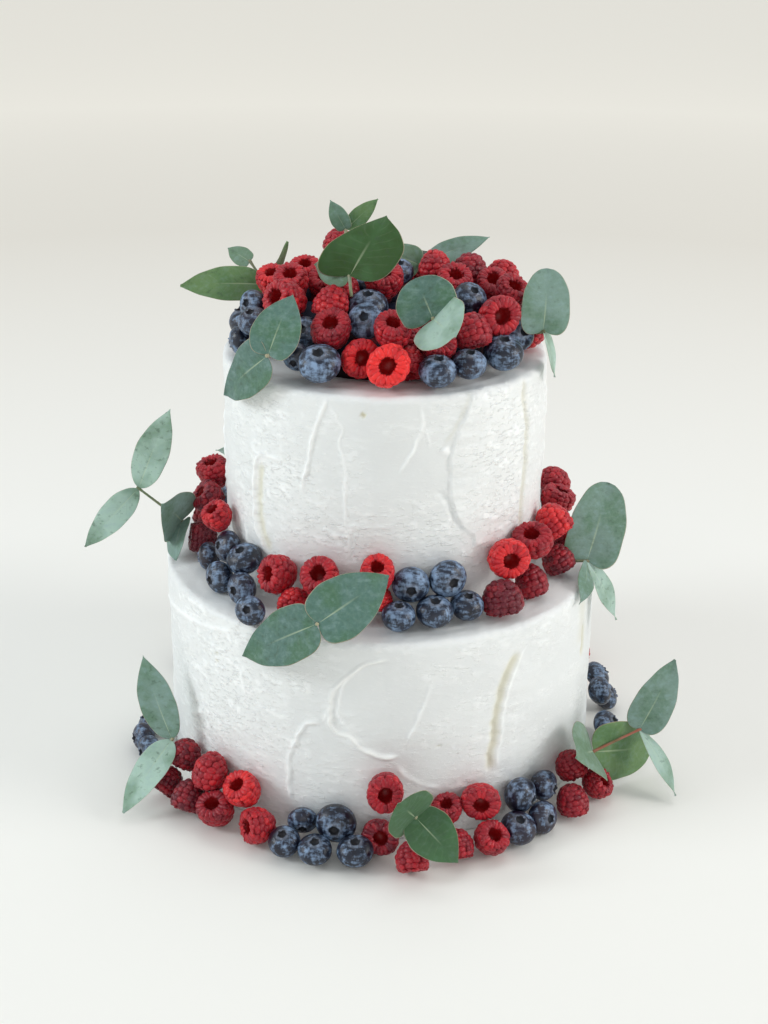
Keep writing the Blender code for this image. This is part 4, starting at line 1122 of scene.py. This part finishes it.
tints = {
    "pale": paint(164, 192, 178), "silver": paint(114, 142, 131), "sage": paint(102, 130, 106),
    "sea": paint(75, 110, 99), "moss": paint(96, 128, 78), "deep": paint(44, 82, 26),
    "fern": paint(54, 90, 54), "olive": paint(118, 112, 82), "tan": paint(168, 160, 130),
    "rust": paint(160, 92, 70),
}
leaf = {
    "rows": 34, "thickness": 0.5, "start": 0.5, "end": 0.3,
    # the leaf's points across, -1 and 1 at its edges: on the face, then back on the underside
    "over": [-1, -0.97, -0.86, -0.68, -0.46, -0.24, -0.08, 0, 0.08, 0.24, 0.46, 0.68, 0.86, 0.97],
    "under": [1, 0.94, 0.70, 0.36, 0, -0.36, -0.70, -0.94],
    # a leaf this slim, width to length, has the slim outline, and one wider by broadFade the full one
    "broadFrom": 0.35, "broadFade": 0.3,
    "bend": 0.05, "sway": 0.02, "fold": 0.05, "midrib": 0.16, "midribWidth": 0.07, "wave": 0.02,
    "ripple": 0.012, "tintSpread": 0.16,
    "stemRadius": 0.85, "stemSides": 10, "stemPoints": 18, "knot": 0.3, "knotLength": 1.3, "stub": 1.2,
}
# Half outlines from foot to tip: share of the length, share of the half width
outlines = {
    "slim": [(0, 0), (0.02, 0.26), (0.10, 0.62), (0.24, 0.91), (0.40, 1.0), (0.59, 0.90), (0.78, 0.60),
             (0.92, 0.24), (1, 0)],
    "full": [(0, 0), (-0.035, 0.30), (-0.03, 0.62), (0.06, 0.87), (0.28, 1.0), (0.51, 0.92), (0.74, 0.63),
             (0.91, 0.25), (1, 0)],
    "round": [(0, 0), (-0.06, 0.32), (-0.055, 0.66), (0.07, 0.92), (0.36, 1.0), (0.63, 0.92), (0.86, 0.65),
              (0.975, 0.30), (1, 0)],
}
# Leaves by their place in the sprig's list, with the round outline in place of the full one
roundLeaves = {"top_sprig_front_right": (0, 1), "top_sprig_right": (0,), "foot_sprig_right": (2,),
               "ledge_sprig_right": (0,), "foot_sprig_front": (0,)}
# Skewed leaves: shift along for each mm across, and what is left of the width
skewedLeaves = {"top_sprig_tall": {0: (0.62, 0.88)}}


def leafShape(base, tip, width, normal, tint, isRound, skew, share):
    # a flattened tube: points between the straight middle line and the curve through the outline's
    # points follow across^2, the middle is bent by a sine along its length, the halves rise from the
    # midrib, the edge waves, and skew shifts each half along by its distance from the middle.
    # Marks: place is share along, share across, underside and a random pick; tint's alpha is 0
    width = width * share
    draw = rng.uniform(0, 1, 4)
    length = np.linalg.norm(tip - base)
    axis = (tip - base) / length
    normal = unit(normal - axis * normal.dot(axis))
    side = np.cross(axis, normal)
    base = base + axis * leaf["start"]
    length -= leaf["start"]
    broad = smooth((width / length - leaf["broadFrom"]) / leaf["broadFade"])
    slim, full = (np.array(outlines[kind], float) for kind in ("slim", "round" if isRound else "full"))
    outline = throughPoints((slim + (full - slim) * broad) * [length, width / 2], 8)
    edgeAlong, half = evenly(outline, leaf["rows"]).T[..., None]
    half = np.maximum(half, leaf["end"])
    along = np.linspace(0, 1, leaf["rows"])[:, None]
    across = np.array(leaf["over"] + leaf["under"])
    above = np.repeat([1.0, -1.0], [len(leaf["over"]), len(leaf["under"])])
    forward = length * along + (edgeAlong - length * along) * across ** 2
    edge = 1 + leaf["ripple"] * (np.sin(9 * along + 6 * draw[0] + 3 * across)
                                 + np.sin(23 * along + 6 * draw[3])) * np.abs(across) ** 3
    lift = leaf["bend"] * length * np.sin(np.pi * along)
    lift = lift + leaf["sway"] * length * np.sin(2.5 * np.pi * along) * across
    lift = lift + leaf["fold"] * half * np.abs(across) ** 1.3
    wave = np.sin(7.5 * along + 6 * draw[1] + 1.5 * np.sign(across)) * np.abs(across) ** 2
    lift = lift + leaf["wave"] * width * wave * np.sin(np.pi * along)
    rib = np.exp(-(across / leaf["midribWidth"]) ** 2) * (1 - 0.6 * along)
    lift = lift - leaf["midrib"] * rib * smooth(along * 6)
    skin = 0.5 * leaf["thickness"] * np.sqrt(np.maximum(1 - across ** 4, 0.03))
    lift = lift + above * skin
    aside = half * edge * across
    points = base + axis * (forward + skew * aside)[..., None] + side * aside[..., None]
    points = points + normal * lift[..., None]
    points[..., 2] += max(0.0, cake["floorGap"] - points[..., 2].min())
    place = np.stack(np.broadcast_arrays(
        along, 0.5 + 0.5 * across, 0.5 - 0.5 * above, draw[2]), -1)
    colour = np.array(tint) * (1 - leaf["tintSpread"] / 2 + leaf["tintSpread"] * draw[3])
    colour = np.broadcast_to(np.append(colour[:3], 0.0), points.shape[:2] + (4,))
    return (withPoles(points), cappedFaces(*points.shape[:2])[:, ::-1],
            {"place": withPoles(place), "tint": withPoles(colour)})


def stemShape(points, tint):
    # a tube along the stem's points that thins towards its outer end and swells where leaves grow;
    # tint's alpha is 1 on a stem
    first = points[0] + unit(points[0] - points[1]) * leaf["stub"]
    joints = np.concatenate([[first], points[1:]])
    curve = evenly(throughPoints(joints, 8), leaf["stemPoints"])
    direction = unit(np.gradient(curve, axis=0))
    side = unit(np.cross(direction, [0.2, 0.9, 0.4]))
    rise = np.cross(direction, side)
    angle = np.linspace(0, 2 * np.pi, leaf["stemSides"], endpoint=False)
    gap = np.linalg.norm(curve[:, None] - points[None, :-1], axis=-1).min(-1)
    share = np.linspace(0, 1, leaf["stemPoints"])
    thick = leaf["stemRadius"] * (0.72 + 0.2 * share)
    thick = thick + leaf["knot"] * np.exp(-(gap / leaf["knotLength"]) ** 2)
    skin = curve[:, None] + thick[:, None, None] * (
        np.cos(angle)[:, None] * side[:, None] + np.sin(angle)[:, None] * rise[:, None])
    ones = np.ones(skin.shape[:2])
    place = np.stack([share[:, None] * ones, 0.7 * ones, 0 * ones, 0.5 * ones], -1)
    colour = np.broadcast_to(np.append(np.array(tint)[:3], 1.0), skin.shape[:2] + (4,))
    return (withPoles(skin), cappedFaces(*skin.shape[:2]),
            {"place": withPoles(place), "tint": withPoles(colour)})


leafLook = {"rib": paint(184, 198, 164), "edge": paint(190, 164, 136), "under": paint(160, 184, 176),
            "green": paint(60, 104, 58), "blue": paint(140, 168, 170), "spot": paint(52, 76, 56),
            "greenShare": 0.5, "blueShare": 0.35, "waxShare": 0.14, "underShare": 0.45, "veinShare": 0.03,
            "ribShare": 0.6, "edgeShare": 0.6, "cloud": 70, "grain": 600, "dapple": 260, "veins": 55,
            "rough": 0.5, "bump": 0.00015}


def leafMaterial():
    sheet = Sheet("eucalyptusSkin", {
        "Subsurface Weight": 0.06, "Subsurface Radius": (0.4, 1.0, 0.3), "Subsurface Scale": 0.0008,
        "Specular IOR Level": 0.35, "Sheen Weight": 0.12, "Sheen Roughness": 0.6})
    tint, (_, _, tintBlue, isStem) = sheet.marks("tint")
    along, acrossRaw, under, pick = sheet.marks("place")[1]
    across = abs(acrossRaw * 2 - 1)
    spot = sheet.place()
    cloud = sheet.noise(spot, leafLook["cloud"], 3.0)
    grain = sheet.noise(spot, leafLook["grain"], 3.0, 0.6)
    blade = 1 - isStem
    veinWave = sheet.node("ShaderNodeMath", {"operation": "SINE"},
                          {0: (along - across * 0.2 + cloud * 0.12) * leafLook["veins"]})
    vein = veinWave.above(0.75, 1.0) * across.above(0.05, 0.2) * (1 - across.above(0.6, 0.9))
    rib = (1 - across.above(0.012, 0.045)) * (1 - along.above(0.15, 0.62))
    rim = across.above(0.972, 0.992)
    dapple = sheet.noise(sheet.place((1.0, 1.0, 1.4)), leafLook["dapple"], 3.0, 0.6)
    waxy = tintBlue.above(0.0, 0.16)  # bluish tints have a waxy bloom
    colour = tint
    for share, layer in (
            (cloud.above(0.44, 0.62) * leafLook["greenShare"], "green"),
            (dapple.above(0.50, 0.72) * waxy * leafLook["blueShare"], "blue"),
            (grain.above(0.42, 0.72) * waxy * leafLook["waxShare"], "under"),
            (under * leafLook["underShare"] * blade, "under"),
            (vein * leafLook["veinShare"] * blade, "rib"),
            (rib * leafLook["ribShare"] * blade, "rib"),
            (rim * leafLook["edgeShare"] * blade, "edge"),
            ((1 - dapple.above(0.32, 0.42)) * (0.2 + pick * 0.3), "spot")):
        colour = sheet.mix(share, colour, leafLook[layer])
    height = grain * 0.5 - vein * 0.2 * blade
    return sheet.finishWith({"Base Color": colour, "Roughness": leafLook["rough"] + grain * 0.2,
                             "Normal": sheet.bump(height, leafLook["bump"])})


eucalyptusSkin = leafMaterial()
for node, (stem, leaves, stemTint) in sprigs.items():
    joints = np.array(stem, float)
    parts = [stemShape(joints, tints[stemTint])]
    for index, (joint, tip, width, faceBearing, faceLift, tint) in enumerate(leaves):
        parts.append(leafShape(joints[joint], np.array(tip, float), width,
                               facingVector(faceBearing, faceLift), tints[tint],
                               index in roundLeaves.get(node, ()),
                               *skewedLeaves.get(node, {}).get(index, (0.0, 1.0))))
    name = "".join(word.capitalize() for word in node.split("_"))
    makePiece(name, joinMeshes(parts), eucalyptusSkin, "leaf", node)
print("sprigs made:", len(sprigs))


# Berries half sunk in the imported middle, in the gaps of the heap's right side:
# kind, bearing, reach, rise, diameter, lift of the face, tone
innerFruit = [
    ("raspberry", 72, 52, 20, 17, 10, 0.6), ("blueberry", 89, 53, 21, 16, 50, 0.5),
    ("raspberry", 107, 52, 20, 17, 25, 0.4), ("blueberry", 78, 54, 8.5, 15, 30, 0.6),
    ("raspberry", 94, 54, 9, 16, 30, 0.7), ("blueberry", 111, 54, 8, 14, 20, 0.5)]
innerBerries = [
    (kind, onBearing(bearing, reach, cake["upperTop"] + rise, cake["upperShift"]),
     diameter / 2, facingVector(bearing, lift), tone)
    for kind, bearing, reach, rise, diameter, lift, tone in innerFruit]
for kind, shapes, skin in (("raspberry", raspberryShapes, raspberrySkin),
                           ("blueberry", blueberryShapes, blueberrySkin)):
    mesh = placeBerries([berry for berry in innerBerries if berry[0] == kind], shapes)
    makePiece("HeapInner" + kind.capitalize(), mesh, skin, kind, "top_fruit_heap")
print("gaps filled")


# Studio: a wide pale floor, soft lights and the camera
studio = {
    "floorHalf": 60000.0, "floorPoints": 40, "floorLevel": -0.05,
    "floorNear": (0.845, 0.84, 0.80, 1.0), "floorFar": (0.68, 0.65, 0.59, 1.0),
    # the floor turns warmer and darker from farFrom to farTo metres from the cake, and it glows
    # more from glowFrom to glowTo metres, to stay pale far off
    "farFrom": 0.35, "farTo": 1.3,
    "glow": (0.33, 0.325, 0.295, 1.0), "noGlow": (0.0, 0.0, 0.0, 1.0), "glowFrom": 0.3, "glowTo": 2.6,
    "sky": (0.96, 0.985, 1.0, 1.0), "skyStrength": 0.64, "aim": (0.0, 0.0, 120.0),
    # name: bearing, lift, distance, size, watts, colour
    # lift and bearing are seen from the point aim, in mm
    "lights": {
        "rightWindow": (76, 26, 2200, 1000, 18.5, (1.0, 0.985, 0.965)),
        "leftWindow": (-78, 28, 2200, 800, 18.0, (0.90, 0.965, 1.0)),
        "overhead": (150, 70, 2400, 1200, 7.0, (1.0, 0.99, 0.98)),
        "lowFront": (4, 14, 2300, 900, 3.6, (1.0, 0.995, 0.98)),
    },
}
view = {"place": (-2.665, -675.14, 412.99), "pitch": 23.2244, "yaw": 0.3246, "roll": 0.5029,
        "focalPixels": 1415.81, "frameHeight": 1024, "sensorHeight": 36.0, "clip": (0.05, 200.0)}


def makeFloor():
    half, count = studio["floorHalf"], studio["floorPoints"]
    steps = np.linspace(-half, half, count)
    x, y = np.meshgrid(steps, steps)
    points = np.stack([x, y, np.full_like(x, studio["floorLevel"])], -1).reshape(-1, 3)
    r, c = np.meshgrid(np.arange(count - 1), np.arange(count - 1), indexing="ij")
    a = (r * count + c).ravel()
    faces = np.stack([a, a + 1, a + count + 1, a + count], -1)
    mesh = bpy.data.meshes.new("StudioFloor")
    mesh.from_pydata(points * mm, [], faces)
    sheet = Sheet("studioFloor", {"Roughness": 0.7, "Specular IOR Level": 0.2, "Emission Strength": 1.0})
    away = sheet.node("ShaderNodeVectorMath", {"operation": "LENGTH"}, {0: sheet.place()}, "Value")
    far = away.above(studio["farFrom"], studio["farTo"])
    colour = sheet.mix(far, studio["floorNear"], studio["floorFar"])
    glow = sheet.mix(away.above(studio["glowFrom"], studio["glowTo"]), studio["noGlow"], studio["glow"])
    mesh.materials.append(sheet.finishWith({"Base Color": colour, "Emission Color": glow}))
    floor = bpy.data.objects.new("StudioFloor", mesh)
    bpy.context.scene.collection.objects.link(floor)


def makeLight(name, bearing, lift, distance, size, watts, colour):
    lamp = bpy.data.lights.new(name, "AREA")
    lamp.shape = "DISK"
    lamp.size = size * mm
    lamp.energy = watts
    lamp.color = colour
    item = bpy.data.objects.new(name, lamp)
    outward = Vector(facingVector(bearing, lift))
    item.location = (Vector(studio["aim"]) + outward * distance) * mm
    item.rotation_mode = "QUATERNION"
    item.rotation_quaternion = outward.to_track_quat("Z", "Y")
    bpy.context.scene.collection.objects.link(item)


def makeWorld():
    world = bpy.data.worlds.new("studioSky")
    bpy.context.scene.world = world
    world.use_nodes = True
    sky = world.node_tree.nodes["Background"]
    sky.inputs["Color"].default_value = studio["sky"]
    sky.inputs["Strength"].default_value = studio["skyStrength"]
    bpy.context.scene.view_settings.view_transform = "Standard"


def makeCamera():
    # level is the line to the right before the roll, and rise is at right angles to it and forward
    pitch, yaw, roll = (math.radians(view[key]) for key in ("pitch", "yaw", "roll"))
    forward = Vector((math.sin(yaw) * math.cos(pitch), math.cos(yaw) * math.cos(pitch), -math.sin(pitch)))
    level = Vector((math.cos(yaw), -math.sin(yaw), 0))
    rise = level.cross(forward)
    right = level * math.cos(roll) + rise * math.sin(roll)
    up = rise * math.cos(roll) - level * math.sin(roll)
    lens = bpy.data.cameras.new("studioCamera")
    lens.sensor_fit = "VERTICAL"
    lens.sensor_height = view["sensorHeight"]
    lens.lens = view["focalPixels"] / view["frameHeight"] * view["sensorHeight"]
    lens.clip_start, lens.clip_end = view["clip"]
    camera = bpy.data.objects.new("studioCamera", lens)
    bpy.context.scene.collection.objects.link(camera)
    turn = Matrix((right, up, -forward)).transposed().to_4x4()
    camera.matrix_world = Matrix.Translation(Vector(view["place"]) * mm) @ turn
    bpy.context.scene.camera = camera


makeFloor()
makeWorld()
for name, settings in studio["lights"].items():
    makeLight(name, *settings)
makeCamera()
print("studio set")
